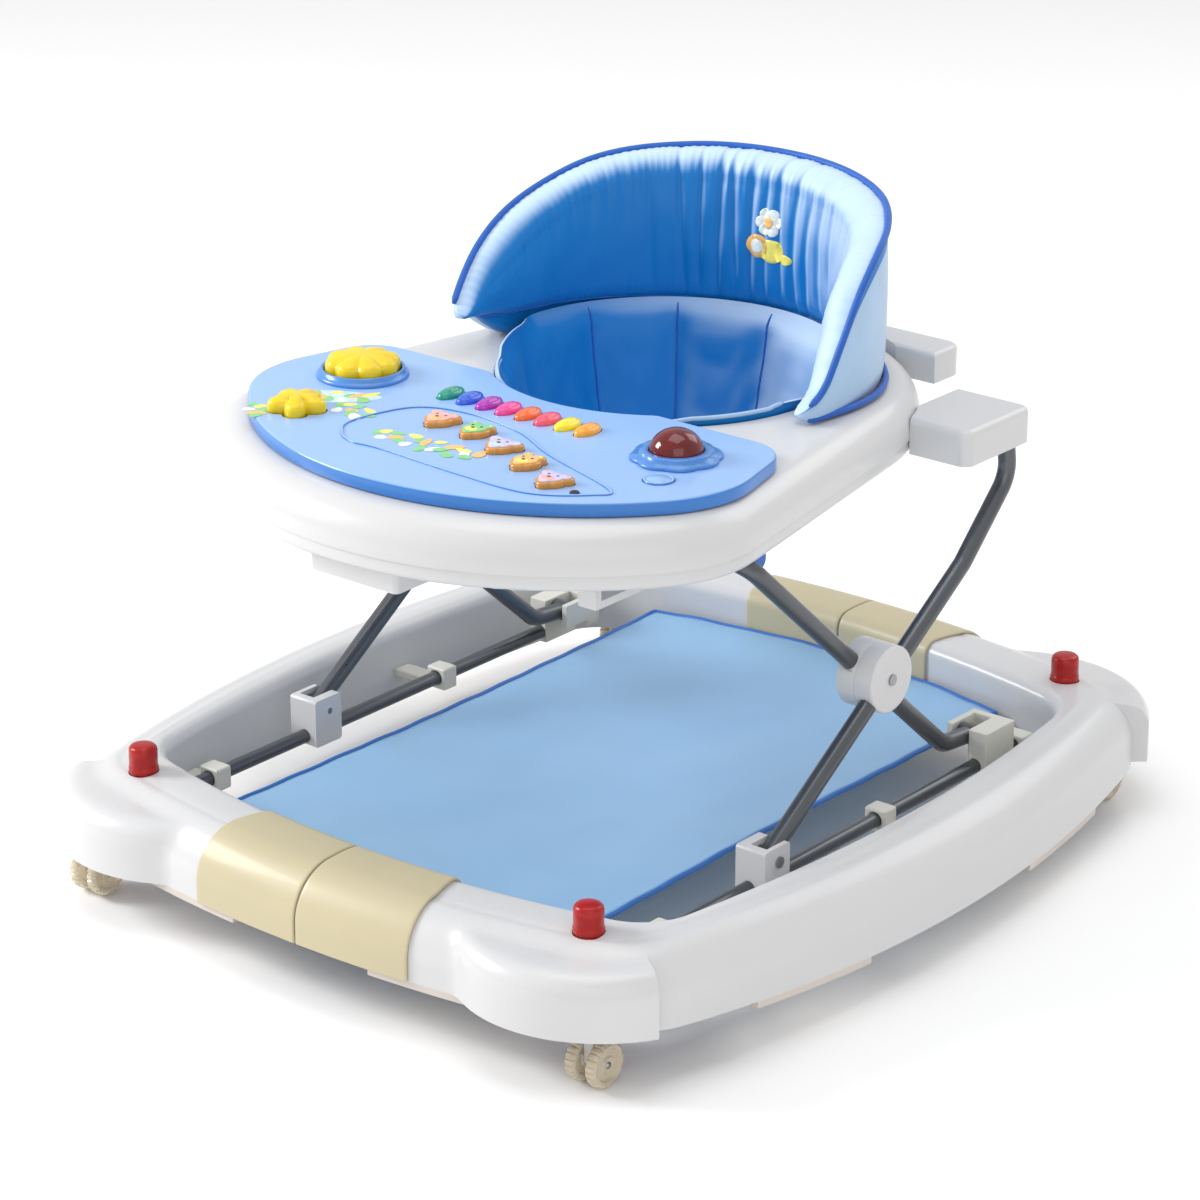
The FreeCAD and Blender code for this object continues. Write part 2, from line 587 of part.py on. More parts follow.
def animal_solid(centre, ear_r, ear_turn, grow, z0, z1):
    """Animal head: a round face, two ears and a small chin."""
    x, y = centre
    solid = disc(HEAD_R + grow, x, y, z0, z1).fuse(disc(CHIN_R + grow, x, y - CHIN_DROP, z0, z1))
    for side in (1, -1):
        turn = math.radians(ear_turn)
        ear_x = x + side * HEAD_R * math.sin(turn)
        solid = solid.fuse(disc(ear_r + grow, ear_x, y + HEAD_R * math.cos(turn), z0, z1))
    return solid.removeSplitter()


def button_makers():
    """Name of every button with the function that makes it from growth and z limits."""
    makers = []
    for i in range(KEYS):
        x = KEY_PITCH * (i - (KEYS - 1) / 2)
        makers.append(("piano_key_%d" % (i + 1), lambda g, a, b, x=x: key_solid(x, g, a, b)))
    for i, (x, y, ear_r, ear_turn) in enumerate(ANIMALS):
        makers.append(("animal_button_%d" % (i + 1),
                       lambda g, a, b, p=(x, y), r=ear_r, t=ear_turn: animal_solid(p, r, t, g, a, b)))
    makers.append(("flower_button", lambda g, a, b: lobed_solid(FLOWER, 24, 8, 9, g, a, b)))
    makers.append(("star_button", lambda g, a, b: lobed_solid(STAR, 15, 5, 11, g, a, b)))
    makers.append(("round_button", lambda g, a, b: disc(ROUND_R + g, ROUND_BUTTON[0], ROUND_BUTTON[1], a, b)))
    return makers


def panel_block(grow, back, z0, z1):
    """Kidney-shaped slab: the front of a pear outline, cut back round the seat."""
    slab = prism(pear_outline(PANEL_CORNER, PANEL_CORNER_R + grow, PANEL_FRONT - grow, 190), z0, z1)
    slab = slab.common(box(-300, 300, -400, back, z0 - 1, z1 + 1))
    return slab.cut(disc(HOLE_R + 6 - grow, 0, SEAT_Y, z0 - 1, z1 + 1))


def upright_edges(shape, keep):
    """Straight vertical edges of a slab that pass the test 'keep'."""
    tall = shape.BoundBox.ZLength - 0.1
    return [e for e in shape.Edges if e.BoundBox.ZLength > tall and e.BoundBox.XLength < 0.01
            and e.BoundBox.YLength < 0.01 and keep(e.BoundBox)]


def build_panel():
    panel = panel_block(0, PANEL_BACK, PANEL_BOTTOM, PANEL_TOP)
    panel = panel.makeFillet(40, upright_edges(panel, lambda b: abs(b.XMin) > 200 and b.YMin > PANEL_BACK - 1))
    panel = panel.makeFillet(14, upright_edges(panel, lambda b: abs(b.XMin) < 120 and b.YMin > PANEL_BACK - 1))
    panel = panel.makeFillet(3, rim_edges(panel, PANEL_TOP, lambda b: True))
    room = panel_block(-WALL, PANEL_BACK - 32, PANEL_BOTTOM - 1, PANEL_TOP - WALL)
    panel = panel.cut(room)
    board = panel_block(-WALL - 4, PANEL_BACK - 36, PANEL_BOTTOM - 0.9, PANEL_BOTTOM + 0.7)

    bezels = []
    for centre, radius, bore in ((FLOWER, 39, 33.6), (DOME, 30, DOME_R)):
        ring = disc(radius, centre[0], centre[1], PANEL_TOP, PANEL_TOP + BEZEL_HEIGHT)
        ring = ring.makeFillet(2.5, rim_edges(ring, PANEL_TOP + BEZEL_HEIGHT, lambda b: True))
        bezels.append(ring.cut(disc(bore, centre[0], centre[1], PANEL_TOP - 1, PANEL_TOP + 5)))
    save("toy_bezels", bezels)

    tops = {"flower_button": FLOWER_TOP, "star_button": STAR_TOP, "round_button": PANEL_TOP + 1.6}
    for name, make in button_makers():
        top = tops.get(name, PANEL_TOP + BUTTON_RISE)
        panel = panel.cut(make(BUTTON_GAP, PANEL_BOTTOM - 1, PANEL_TOP + 20))
        button = make(0, BUTTON_BOTTOM, top)
        save(name, button.makeFillet(0.8, rim_edges(button, top, lambda b: True)))

    panel = panel.cut(disc(DOME_R, DOME[0], DOME[1], PANEL_TOP - 5, PANEL_TOP + 10))
    save("toy_panel", panel)
    save("toy_circuit_board", board)
    lens_r = DOME_R - 0.1
    dome = Part.makeSphere(lens_r, V(DOME[0], DOME[1], PANEL_TOP + 3))
    dome = dome.common(box(-300, 300, -400, 400, PANEL_TOP + 3, 500))
    save("dome_lens", dome.fuse(disc(lens_r, DOME[0], DOME[1], PANEL_TOP - 5, PANEL_TOP + 3)))


def build_battery_box():
    half, front, rear = BATTERY_BOX
    case = box(-half, half, front, rear, BATTERY_BOTTOM, TRAY_BOTTOM)
    case = case.makeFillet(5, [e for e in case.Edges if e.BoundBox.ZLength > 15])
    room = box(-half + 4, half - 4, front + 4, rear - 4, BATTERY_BOTTOM + 2, TRAY_BOTTOM - 2)
    hatch = box(-half + 8, half - 8, front + 8, rear - 8, BATTERY_BOTTOM - 1, BATTERY_BOTTOM + 3)
    save("battery_box", case.cut(room).cut(hatch))
    cover = box(-half + 8.3, half - 8.3, front + 8.3, rear - 8.3, BATTERY_BOTTOM, BATTERY_BOTTOM + 2)
    save("battery_cover", cover)
    z = BATTERY_BOTTOM + 10
    cells = [rod(CELL_R, (-CELL_HALF, y, z), (CELL_HALF, y, z)) for y in CELL_Y]
    save("batteries", cells)


# ---------------------------------------------------------------- seat
def wedge(half_angle, radius, z0, z1):
    """Sector about the seat axis, open towards the front."""
    turn = math.radians(half_angle)
    reach = radius * 1.5
    rim = [(reach * math.sin(turn), reach * math.cos(turn) + SEAT_Y, 0)]
    rim += [(reach, SEAT_Y + reach, 0), (-reach, SEAT_Y + reach, 0)]
    rim += [(-rim[0][0], rim[0][1], 0), (0, SEAT_Y, 0)]
    edges = [line(a, b) for a, b in zip(rim, rim[1:] + rim[:1])]
    return prism(edges, z0, z1)


def build_seat():
    low = TRAY_TOP + 0.6
    wall = disc(BACK_OUT, 0, SEAT_Y, low, BACK_TOP).cut(disc(BACK_IN, 0, SEAT_Y, low - 1, BACK_TOP + 1))
    wall = wall.common(wedge(BACK_ANGLE, BACK_OUT, low - 1, BACK_TOP + 1))
    # the rim falls in an arc from the top of the back to the front tips
    front_y = SEAT_Y + BACK_OUT * math.cos(math.radians(BACK_ANGLE))
    rear_y = SEAT_Y + BACK_OUT
    rim = arc((0, front_y, BACK_FRONT_TOP), (0, SEAT_Y + 20, 546), (0, rear_y, BACK_TOP))
    edges = [rim, line((0, rear_y, BACK_TOP), (0, rear_y + 50, BACK_TOP)),
             line((0, rear_y + 50, BACK_TOP), (0, rear_y + 50, 400)),
             line((0, rear_y + 50, 400), (0, front_y - 1, 400)),
             line((0, front_y - 1, 400), (0, front_y, BACK_FRONT_TOP))]
    side = Part.Face(Part.Wire(Part.__sortEdges__(edges)))
    side.translate(V(-300, 0, 0))
    wall = wall.common(side.extrude(V(600, 0, 0)))
    save("seat_back", wall)

    # hanging cloth seat: a bowl with two leg openings and a strap between them
    top_r = HOLE_R - 1
    bowl = Part.makeCone(SLING_R, top_r, TRAY_TOP + 4 - SLING_BOTTOM, V(0, SEAT_Y, SLING_BOTTOM), Z_AXIS)
    room = Part.makeCone(SLING_R - SLING_WALL, top_r - 4, TRAY_TOP + 4 - SLING_BOTTOM,
                         V(0, SEAT_Y, SLING_BOTTOM + SLING_WALL), Z_AXIS)
    legs = [disc(LEG_HOLE_R, sx * LEG_HOLE[0], SEAT_Y - LEG_HOLE[1], 200, SLING_BOTTOM + 50) for sx in (1, -1)]
    save("seat_sling", bowl.cut(room).cut(legs[0]).cut(legs[1]))


for step in (build_base, build_casters, build_rails, build_mat, build_scissor, build_tray,
             build_panel, build_battery_box, build_seat):
    step()
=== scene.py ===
import bmesh
import bpy
import json
import math
import random
from mathutils import Matrix, Vector, noise


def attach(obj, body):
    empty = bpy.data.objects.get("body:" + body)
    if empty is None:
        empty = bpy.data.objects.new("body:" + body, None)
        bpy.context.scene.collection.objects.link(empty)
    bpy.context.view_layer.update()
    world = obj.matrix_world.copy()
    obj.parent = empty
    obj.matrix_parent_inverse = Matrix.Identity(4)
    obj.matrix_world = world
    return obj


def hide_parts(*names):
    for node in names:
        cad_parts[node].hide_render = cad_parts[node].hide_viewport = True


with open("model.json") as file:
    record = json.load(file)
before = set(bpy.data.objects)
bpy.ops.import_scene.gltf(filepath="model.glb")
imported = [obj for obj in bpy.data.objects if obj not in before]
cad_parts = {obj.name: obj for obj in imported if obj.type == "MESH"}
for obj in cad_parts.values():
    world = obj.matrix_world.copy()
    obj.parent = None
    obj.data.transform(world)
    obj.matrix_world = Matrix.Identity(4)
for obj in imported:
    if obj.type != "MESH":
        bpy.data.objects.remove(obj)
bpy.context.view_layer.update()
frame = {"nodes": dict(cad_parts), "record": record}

MM = 0.001
random.seed(7)

# Places and heights in millimetres, in the frame's own axes: +Z up, front towards -Y.
KNOB = (250, 340)
KNOB_HOLE_R = 13.6
CASTER = (281, 363)
TRAIL = 8                       # wheel axle in front of the swivel
WHEEL_R = 20
AXLE_R = 2.45
AXLE_HALF = 15.5
WHEEL_INSIDE, WHEEL_OUTSIDE = 5, 16
SLEEVE_HALF = 118
SLEEVE_WALL = 3
PANEL_TOP = 437.05
BUTTON_BOTTOM = 428.3
KEYS = 8
KEY_PITCH = 21.5
KEY_Y = -130
FLOWER = (-171, -136)
STAR = (-152, -238)
ROUND_BUTTON = (194, -184)
DOME = (171, -132)
HEAD_R = 13                     # face of an animal button
SEAT_Y = 68                     # the seat is round about this place on the middle line
PAD_OUTER_R = 190               # outer face of the padded back
PAD_DEPTH = 33                  # how far the fullest padding stands in from it
PAD_INNER_R = 152               # inner face of the pad where the badge is
SEAT_FOOT = 426.5
CLOTH_R = 147.5                 # hanging seat, at the tray opening
CLOTH_NARROW = 30               # the wall of the cloth draws in by this much
CLOTH_FLOOR = 305
WALL_SHARE = 0.62               # share of the way from the rim to the middle that is wall
LEG_HOLE = (52, 6)
LEG_HOLE_R = 38


# ------------------------------------------------------------------ helpers
def mesh_piece(name, points, faces, smooth=True):
    """Mesh object from points in millimetres."""
    mesh = bpy.data.meshes.new(name)
    mesh.from_pydata([(x * MM, y * MM, z * MM) for x, y, z in points], [], faces)
    mesh.polygons.foreach_set("use_smooth", [smooth] * len(mesh.polygons))
    mesh.update()
    piece = bpy.data.objects.new(name, mesh)
    bpy.context.scene.collection.objects.link(piece)
    return piece


def loft(name, rows, wrap_rows=False, wrap_points=False, cap=False):
    """Skin over rows of points; a cap closes the first and the last row."""
    count = len(rows[0])
    points = [p for row in rows for p in row]
    faces = []
    for i in range(len(rows) if wrap_rows else len(rows) - 1):
        a, b = i * count, (i + 1) % len(rows) * count
        for j in range(count if wrap_points else count - 1):
            k = (j + 1) % count
            faces.append((a + j, a + k, b + k, b + j))
    if cap:
        faces.append(tuple(reversed(range(count))))
        faces.append(tuple(range((len(rows) - 1) * count, len(rows) * count)))
    piece = mesh_piece(name, points, faces)
    outward(piece)
    return piece


def outward(piece):
    work = bmesh.new()
    work.from_mesh(piece.data)
    bmesh.ops.recalc_face_normals(work, faces=work.faces)
    work.to_mesh(piece.data)
    work.free()


def revolve(name, profile, centre, sides=64, axis="Z"):
    """Turned piece from (radius, height) points; the ends close on the axis."""
    rows = []
    for r, h in profile:
        row = []
        for i in range(sides):
            turn = 2 * math.pi * i / sides
            u, v = r * math.cos(turn), r * math.sin(turn)
            p = (u, v, h) if axis == "Z" else (h, u, v)
            row.append(tuple(a + b for a, b in zip(centre, p)))
        rows.append(row)
    return loft(name, rows, wrap_points=True, cap=True)


def tube(name, line, radius, closed=False, sides=10):
    """Round piping along a line of points."""
    points = [Vector(p) for p in line]
    rows = []
    up = Vector((0, 0, 1))
    for i, p in enumerate(points):
        before = points[i - 1] if closed or i else p
        after = points[(i + 1) % len(points)] if closed or i < len(points) - 1 else p
        along = (after - before).normalized()
        side = along.cross(up)
        if side.length <= 0.2:
            side = along.cross(Vector((1, 0, 0)))
        side.normalize()
        lift = side.cross(along)
        end = not closed and i in (0, len(points) - 1)
        r = radius * (0.55 if end else 1)
        rows.append([tuple(p + side * r * math.cos(t) + lift * r * math.sin(t))
                     for t in (2 * math.pi * k / sides for k in range(sides))])
    return loft(name, rows, wrap_rows=closed, wrap_points=True, cap=not closed)


def lookup(table, x):
    """Smooth value between the (place, value) pairs of a table."""
    if x <= table[0][0]:
        return table[0][1]
    if x >= table[-1][0]:
        return table[-1][1]
    i = next(k for k in range(1, len(table)) if table[k][0] >= x)
    (x0, y0), (x1, y1) = table[i - 1], table[i]
    slope = (y1 - y0) / (x1 - x0)
    before = table[i - 2] if i > 1 else (2 * x0 - x1, 2 * y0 - y1)
    after = table[i + 1] if i < len(table) - 1 else (2 * x1 - x0, 2 * y1 - y0)
    m0 = (slope + (y0 - before[1]) / (x0 - before[0])) / 2
    m1 = (slope + (after[1] - y1) / (after[0] - x1)) / 2
    t = (x - x0) / (x1 - x0)
    h = x1 - x0
    return ((1 + 2 * t) * (1 - t) ** 2 * y0 + t * (1 - t) ** 2 * h * m0
            + t * t * (3 - 2 * t) * y1 + t * t * (t - 1) * h * m1)


def smoothstep(a, b, x):
    t = min(1.0, max(0.0, (x - a) / (b - a)))
    return t * t * (3 - 2 * t)


def modify(piece, kind, **settings):
    modifier = piece.modifiers.new(kind.title(), kind)
    for key, value in settings.items():
        setattr(modifier, key, value)
    return modifier


def bake(piece):
    """Replace the mesh by its modified form and drop the modifiers."""
    bpy.context.view_layer.update()
    graph = bpy.context.evaluated_depsgraph_get()
    mesh = bpy.data.meshes.new_from_object(piece.evaluated_get(graph))
    piece.modifiers.clear()
    piece.data = mesh


def place(piece, body, finish, replaces=()):
    """Give a piece its finish and its body, and hide the CAD nodes it stands for."""
    piece.data.materials.append(finish)
    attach(piece, body)
    if replaces:
        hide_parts(*replaces)
    return piece


# ---------------------------------------------------------------- materials
PLASTIC_IOR = 1.47
SHEEN_ROUGHNESS = 0.35
GLOSS_PATCHES = 60              # patches of uneven gloss per metre
RELIEF = 0.0002                 # height of grain and threads, metres
THREAD = 0.0042                 # period of the weave, metres


def material(name, colour, rough=0.35, vary=0.05, vary_size=0.12, bump=0.12, grain=0.0012, metal=0.0,
             coat=0.0, sheen=0.0, through=0.0, weave=0.0, wear=0.0, specular=0.5,
             coat_rough=0.08, side=None, towards=(0, 0, 1), band=(0.35, 0.9)):
    """Moulded, painted or woven finish: colour drift, worn gloss and fine relief.

    With 'side', the colour is painted light: the main colour is the lit tone on faces turned to the
    direction 'towards', and 'side' is the painted shade on faces turned away.
    """
    made = bpy.data.materials.new(name)
    made.use_nodes = True
    nodes, links = made.node_tree.nodes, made.node_tree.links
    shader = nodes["Principled BSDF"]
    shader.inputs["Metallic"].default_value = metal
    shader.inputs["IOR"].default_value = PLASTIC_IOR
    shader.inputs["Specular IOR Level"].default_value = specular
    shader.inputs["Coat Weight"].default_value = coat
    shader.inputs["Coat Roughness"].default_value = coat_rough
    shader.inputs["Sheen Weight"].default_value = sheen
    shader.inputs["Sheen Roughness"].default_value = SHEEN_ROUGHNESS
    shader.inputs["Transmission Weight"].default_value = through
    where = nodes.new("ShaderNodeTexCoord")

    drift = nodes.new("ShaderNodeTexNoise")
    drift.inputs["Scale"].default_value = 1 / vary_size
    drift.inputs["Detail"].default_value = 3
    links.new(where.outputs["Object"], drift.inputs["Vector"])
    tint = nodes.new("ShaderNodeValToRGB")
    tint.color_ramp.elements[0].position = 0.3
    tint.color_ramp.elements[1].position = 0.7
    tint.color_ramp.elements[0].color = [max(0, c * (1 - vary)) for c in colour] + [1]
    tint.color_ramp.elements[1].color = [min(1, c * (1 + vary)) for c in colour] + [1]
    links.new(drift.outputs["Fac"], tint.inputs["Fac"])
    # painted light: faces turned to a fixed light direction get the lit colour, faces turned away get the
    # painted shade in 'side'
    if side:
        facing = nodes.new("ShaderNodeNewGeometry")
        turned = nodes.new("ShaderNodeVectorMath")
        turned.operation = "DOT_PRODUCT"
        turned.inputs[1].default_value = towards
        links.new(facing.outputs["Normal"], turned.inputs[0])
        lit_share = nodes.new("ShaderNodeMapRange")
        lit_share.inputs["From Min"].default_value = band[0]
        lit_share.inputs["From Max"].default_value = band[1]
        lit_share.interpolation_type = "SMOOTHSTEP"
        links.new(turned.outputs["Value"], lit_share.inputs["Value"])
        painted_light_mix = nodes.new("ShaderNodeMix")
        painted_light_mix.data_type = "RGBA"
        painted_light_mix.inputs["A"].default_value = side + [1]
        links.new(lit_share.outputs["Result"], painted_light_mix.inputs["Factor"])
        links.new(tint.outputs["Color"], painted_light_mix.inputs["B"])
        links.new(painted_light_mix.outputs["Result"], shader.inputs["Base Color"])
    else:
        links.new(tint.outputs["Color"], shader.inputs["Base Color"])

    gloss = nodes.new("ShaderNodeTexNoise")
    gloss.inputs["Scale"].default_value = GLOSS_PATCHES
    gloss.inputs["Detail"].default_value = 5
    links.new(where.outputs["Object"], gloss.inputs["Vector"])
    spread = nodes.new("ShaderNodeMapRange")
    spread.inputs["To Min"].default_value = rough * (0.96 - wear)
    spread.inputs["To Max"].default_value = rough * (1.04 + wear)
    links.new(gloss.outputs["Fac"], spread.inputs["Value"])
    links.new(spread.outputs["Result"], shader.inputs["Roughness"])

    relief = nodes.new("ShaderNodeTexNoise")
    relief.inputs["Scale"].default_value = 1 / grain
    relief.inputs["Detail"].default_value = 2
    links.new(where.outputs["Object"], relief.inputs["Vector"])
    lift = nodes.new("ShaderNodeBump")
    lift.inputs["Strength"].default_value = bump
    lift.inputs["Distance"].default_value = RELIEF
    links.new(relief.outputs["Fac"], lift.inputs["Height"])
    last = lift
    if weave:
        for direction in ("X", "Z"):
            wave = nodes.new("ShaderNodeTexWave")
            wave.wave_type = "BANDS"
            wave.bands_direction = direction
            wave.inputs["Scale"].default_value = 1 / THREAD
            wave.inputs["Distortion"].default_value = 0.6
            links.new(where.outputs["Object"], wave.inputs["Vector"])
            thread = nodes.new("ShaderNodeBump")
            thread.inputs["Strength"].default_value = weave
            thread.inputs["Distance"].default_value = RELIEF
            links.new(wave.outputs["Fac"], thread.inputs["Height"])
            links.new(last.outputs["Normal"], thread.inputs["Normal"])
            last = thread
    links.new(last.outputs["Normal"], shader.inputs["Normal"])
    return made


def srgb(r, g, b):
    """Linear colour from 0-255 display values."""
    return [((c / 255 + 0.055) / 1.055) ** 2.4 if c > 10 else c / 255 / 12.92 for c in (r, g, b)]


M = {
    "white_plastic": material("white_plastic", srgb(208, 208, 209), rough=0.3, vary=0.006, vary_size=0.3,
                              bump=0.03, coat=0.2),
    "beige_plastic": material("beige_plastic", srgb(194, 183, 150), rough=0.42, vary=0.03, bump=0.05,
                              coat=0.1),
    "cream_plastic": material("cream_plastic", srgb(216, 215, 205), rough=0.35, vary=0.03, bump=0.08),
    "steel_tube": material("steel_tube", srgb(98, 101, 105), rough=0.3, vary=0.06, metal=0.7, bump=0.15,
                           grain=0.0006, wear=0.2),
    "steel": material("steel", srgb(165, 165, 168), rough=0.28, metal=1.0, bump=0.1, grain=0.0008),
    "grey_rubber": material("grey_rubber", srgb(205, 196, 188), rough=0.6, vary=0.06, bump=0.3),
    "mat_fabric": material("mat_fabric", srgb(138, 184, 222), rough=0.36, vary=0.04, bump=0.1, sheen=0.4,
                           weave=0.25),
    "mat_binding": material("mat_binding", srgb(45, 112, 190), rough=0.5, vary=0.06, bump=0.2, sheen=0.2,
                            weave=0.3),
    "red_plastic": material("red_plastic", srgb(165, 14, 10), rough=0.3, vary=0.05, bump=0.05, coat=0.1,
                            specular=0.4),
    "amber_plastic": material("amber_plastic", srgb(244, 232, 208), rough=0.14, vary=0.05, bump=0.05,
                              through=0.5),
    # painted light: pale top faces as if lit from above, darker sides as painted shade; the round button
    # and the raised oval share it
    "panel_blue": material("panel_blue", srgb(146, 184, 234), rough=0.3, vary=0.03, bump=0.06, coat=0.25,
                           side=srgb(48, 120, 200)),
    "bezel_blue": material("bezel_blue", srgb(78, 136, 208), rough=0.28, vary=0.04, bump=0.05, coat=0.3),
    "lever_blue": material("lever_blue", srgb(25, 110, 205), rough=0.3, vary=0.05, bump=0.06, coat=0.2),
    "yellow_plastic": material("yellow_plastic", srgb(232, 200, 18), rough=0.32, vary=0.05, bump=0.08,
                               coat=0.2),
    "orange_plastic": material("orange_plastic", srgb(220, 150, 60), rough=0.22, vary=0.1, vary_size=0.01,
                               bump=0.06, coat=0.4, through=0.15),
    "dome_red": material("dome_red", srgb(112, 8, 12), rough=0.12, vary=0.2, vary_size=0.012, bump=0.02,
                         coat=0.4, through=0.12),
    # painted light: pale lit colour on faces turned towards the key lamp, deep blue painted shade on the
    # rest; used on the padded back and the hanging seat
    "seat_fabric": material("seat_fabric", srgb(190, 214, 240), rough=0.42, vary=0.03, vary_size=0.05,
                            bump=0.12, coat=0.08, coat_rough=0.4, sheen=0.12, weave=0.22, specular=0.35,
                            side=srgb(0, 118, 192), towards=(-0.58, -0.12, 0.8), band=(0.0, 0.72)),
    "seat_side": material("seat_side", srgb(166, 196, 226), rough=0.5, vary=0.04, vary_size=0.05, bump=0.12,
                          sheen=0.25, weave=0.22),
    "seat_piping": material("seat_piping", srgb(24, 92, 182), rough=0.5, vary=0.08, vary_size=0.01,
                            bump=0.2, sheen=0.15, weave=0.3),
    "board_green": material("board_green", srgb(30, 110, 60), rough=0.5),
    "battery_jacket": material("battery_jacket", srgb(50, 50, 55), rough=0.4),
    "dark": material("dark", srgb(30, 34, 60), rough=0.35),
}
KEY_COLOURS = {"green": (20, 150, 125), "blue": (45, 95, 215), "magenta": (175, 45, 175),
               "pink": (238, 70, 150), "orange": (243, 110, 50), "coral": (240, 85, 110),
               "lemon": (245, 225, 40), "amber": (245, 165, 45)}
for key, rgb in KEY_COLOURS.items():
    M["key_" + key] = material("key_" + key, srgb(*rgb), rough=0.22, vary=0.06, vary_size=0.01, bump=0.04,
                               coat=0.4)
PRINTS = {"leaf": (130, 205, 130), "cream": (238, 244, 235), "sun": (248, 232, 110),
          "rose": (240, 175, 170), "peach": (244, 190, 110), "lilac": (205, 195, 225),
          "brown": (120, 85, 60), "sky": (190, 222, 248)}
for key, rgb in PRINTS.items():
    M["print_" + key] = material("print_" + key, srgb(*rgb), rough=0.3, vary=0.1, vary_size=0.004,
                                 bump=0.03, coat=0.2)

# CAD nodes that stay get their finish here
for node, obj in frame["nodes"].items():
    slot = next(s["material_slot"] for s in frame["record"]["subparts"] if s["node"] == node)
    for i in range(len(obj.data.materials)):
        obj.data.materials[i] = M[slot]


# ---------------------------------------------------------------- base ring
class Bow:
    """Half of a ring outline, each point found by the angle of its normal."""

    def __init__(self, half_x, half_y, corner, r):
        def radius(reach, offset, half):
            depth = reach - offset
            return (half ** 2 + depth ** 2 - r ** 2) / (2 * (depth - r))
        cx, cy = corner
        self.side_r, self.end_r = radius(half_x, cx, cy), radius(half_y, cy, cx)
        self.side_c, self.end_c = half_x - self.side_r, half_y - self.end_r
        self.corner, self.r = corner, r
        self.low = math.degrees(math.atan2(cy, cx - self.side_c))
        self.high = math.degrees(math.atan2(cy - self.end_c, cx))

    def point(self, psi):
        turn, s = math.radians(psi), 1 if psi > 0 else -1
        if abs(psi) <= self.low:
            centre, r = (self.side_c, 0), self.side_r
        elif abs(psi) <= self.high:
            centre, r = (self.corner[0], s * self.corner[1]), self.r
        else:
            centre, r = (0, s * self.end_c), self.end_r
        return centre[0] + r * math.cos(turn), centre[1] + r * math.sin(turn)

    def stations(self, step):
        marks = (-90, -self.high, -self.low, self.low, self.high, 90)
        found = []
        for a, b, r in zip(marks, marks[1:], (self.end_r, self.r, self.side_r, self.r, self.end_r)):
            n = max(2, math.ceil(r * math.radians(b - a) / step))
            found += [a + (b - a) * i / n for i in range(n)]
        found += [s * (30 + 0.2 * i) for i in range(28) for s in (1, -1)]
        return sorted(set(found + [90]))


OUTER = Bow(372, 415, (250, 300), 85)
INNER = Bow(306, 334, (235, 255), 50)
RING_TOP, RING_ROUND, INNER_ROUND = 112, 42, 12
RING_CENTRE_Z = 70              # the outer round turns about this height
ROCKER_LOW, ROCKER_DIAMETER = 40, 14000
WING_TOP, WING_ROUND, WING_EDGE = 104, 20, 31.2
WING_NONE = 12                  # a wing further inside the ring than this is not drawn
CREASE_TURN, CREASE_WIDTH, CREASE_DEPTH = 84, 5, 0.9


def rocker_low(y):
    """Height of the rocker's lower edge."""
    return ROCKER_LOW + y * y / ROCKER_DIAMETER


def circle_through(a, b, c):
    d = 2 * (a[0] * (b[1] - c[1]) + b[0] * (c[1] - a[1]) + c[0] * (a[1] - b[1]))
    qa, qb, qc = (p[0] ** 2 + p[1] ** 2 for p in (a, b, c))
    ux = (qa * (b[1] - c[1]) + qb * (c[1] - a[1]) + qc * (a[1] - b[1])) / d
    uy = (qa * (c[0] - b[0]) + qb * (a[0] - c[0]) + qc * (b[0] - a[0])) / d
    return (ux, uy), math.dist((ux, uy), a)


WING_C, WING_R = circle_through((160, 400), (272, 412), (334, 352))


def wing_reach(psi):
    """How far the caster wing stands beyond the ring; negative where it doesn't."""
    x, y = OUTER.point(abs(psi))
    nx, ny = math.cos(math.radians(psi)), math.sin(math.radians(abs(psi)))
    px, py = x - WING_C[0], y - WING_C[1]
    along = px * nx + py * ny
    under = along ** 2 - px ** 2 - py ** 2 + WING_R ** 2
    if under < 0:
        return -WING_NONE
    reach = math.sqrt(under) - along
    blunt = smoothstep(WING_EDGE, WING_EDGE + 1.6, abs(psi))
    return max(-WING_NONE, reach + WING_NONE) * blunt - WING_NONE


def outer_profile(psi, grow, count=40):
    """(offset, height) pairs down the outside, from the top edge to the rocker line."""
    reach = wing_reach(psi)
    low = rocker_low(OUTER.point(psi)[1])
    wall = max(0, reach) + grow
    last = -math.degrees(math.atan2(RING_CENTRE_Z - low, RING_ROUND + wall))
    found = []
    for i in range(count + 1):
        phi = math.radians(90 + (last - 90) * i / count)
        c, s = math.cos(phi), math.sin(phi)
        ring = RING_ROUND + grow if phi >= 0 else (RING_ROUND + grow) / c
        wx, wz = RING_ROUND + reach - WING_ROUND, WING_TOP - RING_CENTRE_Z - WING_ROUND
        if phi > math.atan2(WING_TOP - RING_CENTRE_Z, wx):
            wing = (WING_TOP - RING_CENTRE_Z) / s
        elif phi > math.atan2(wz, wx + WING_ROUND):
            b = wx * c + wz * s
            wing = b + math.sqrt(max(0, b * b - wx * wx - wz * wz + WING_ROUND ** 2))
        else:
            wing = (RING_ROUND + reach) / c
        blend = max(0, 5 - abs(ring - wing)) if reach > 1 - WING_NONE and not grow else 0
        radius = max(ring, wing if not grow else 0) + blend * blend / 20
        away = (math.degrees(phi) - CREASE_TURN) / CREASE_WIDTH
        crease = 0 if grow else CREASE_DEPTH * math.exp(-away ** 2)
        found.append((radius * c - RING_ROUND, RING_CENTRE_Z + (radius - crease) * s))
    return found


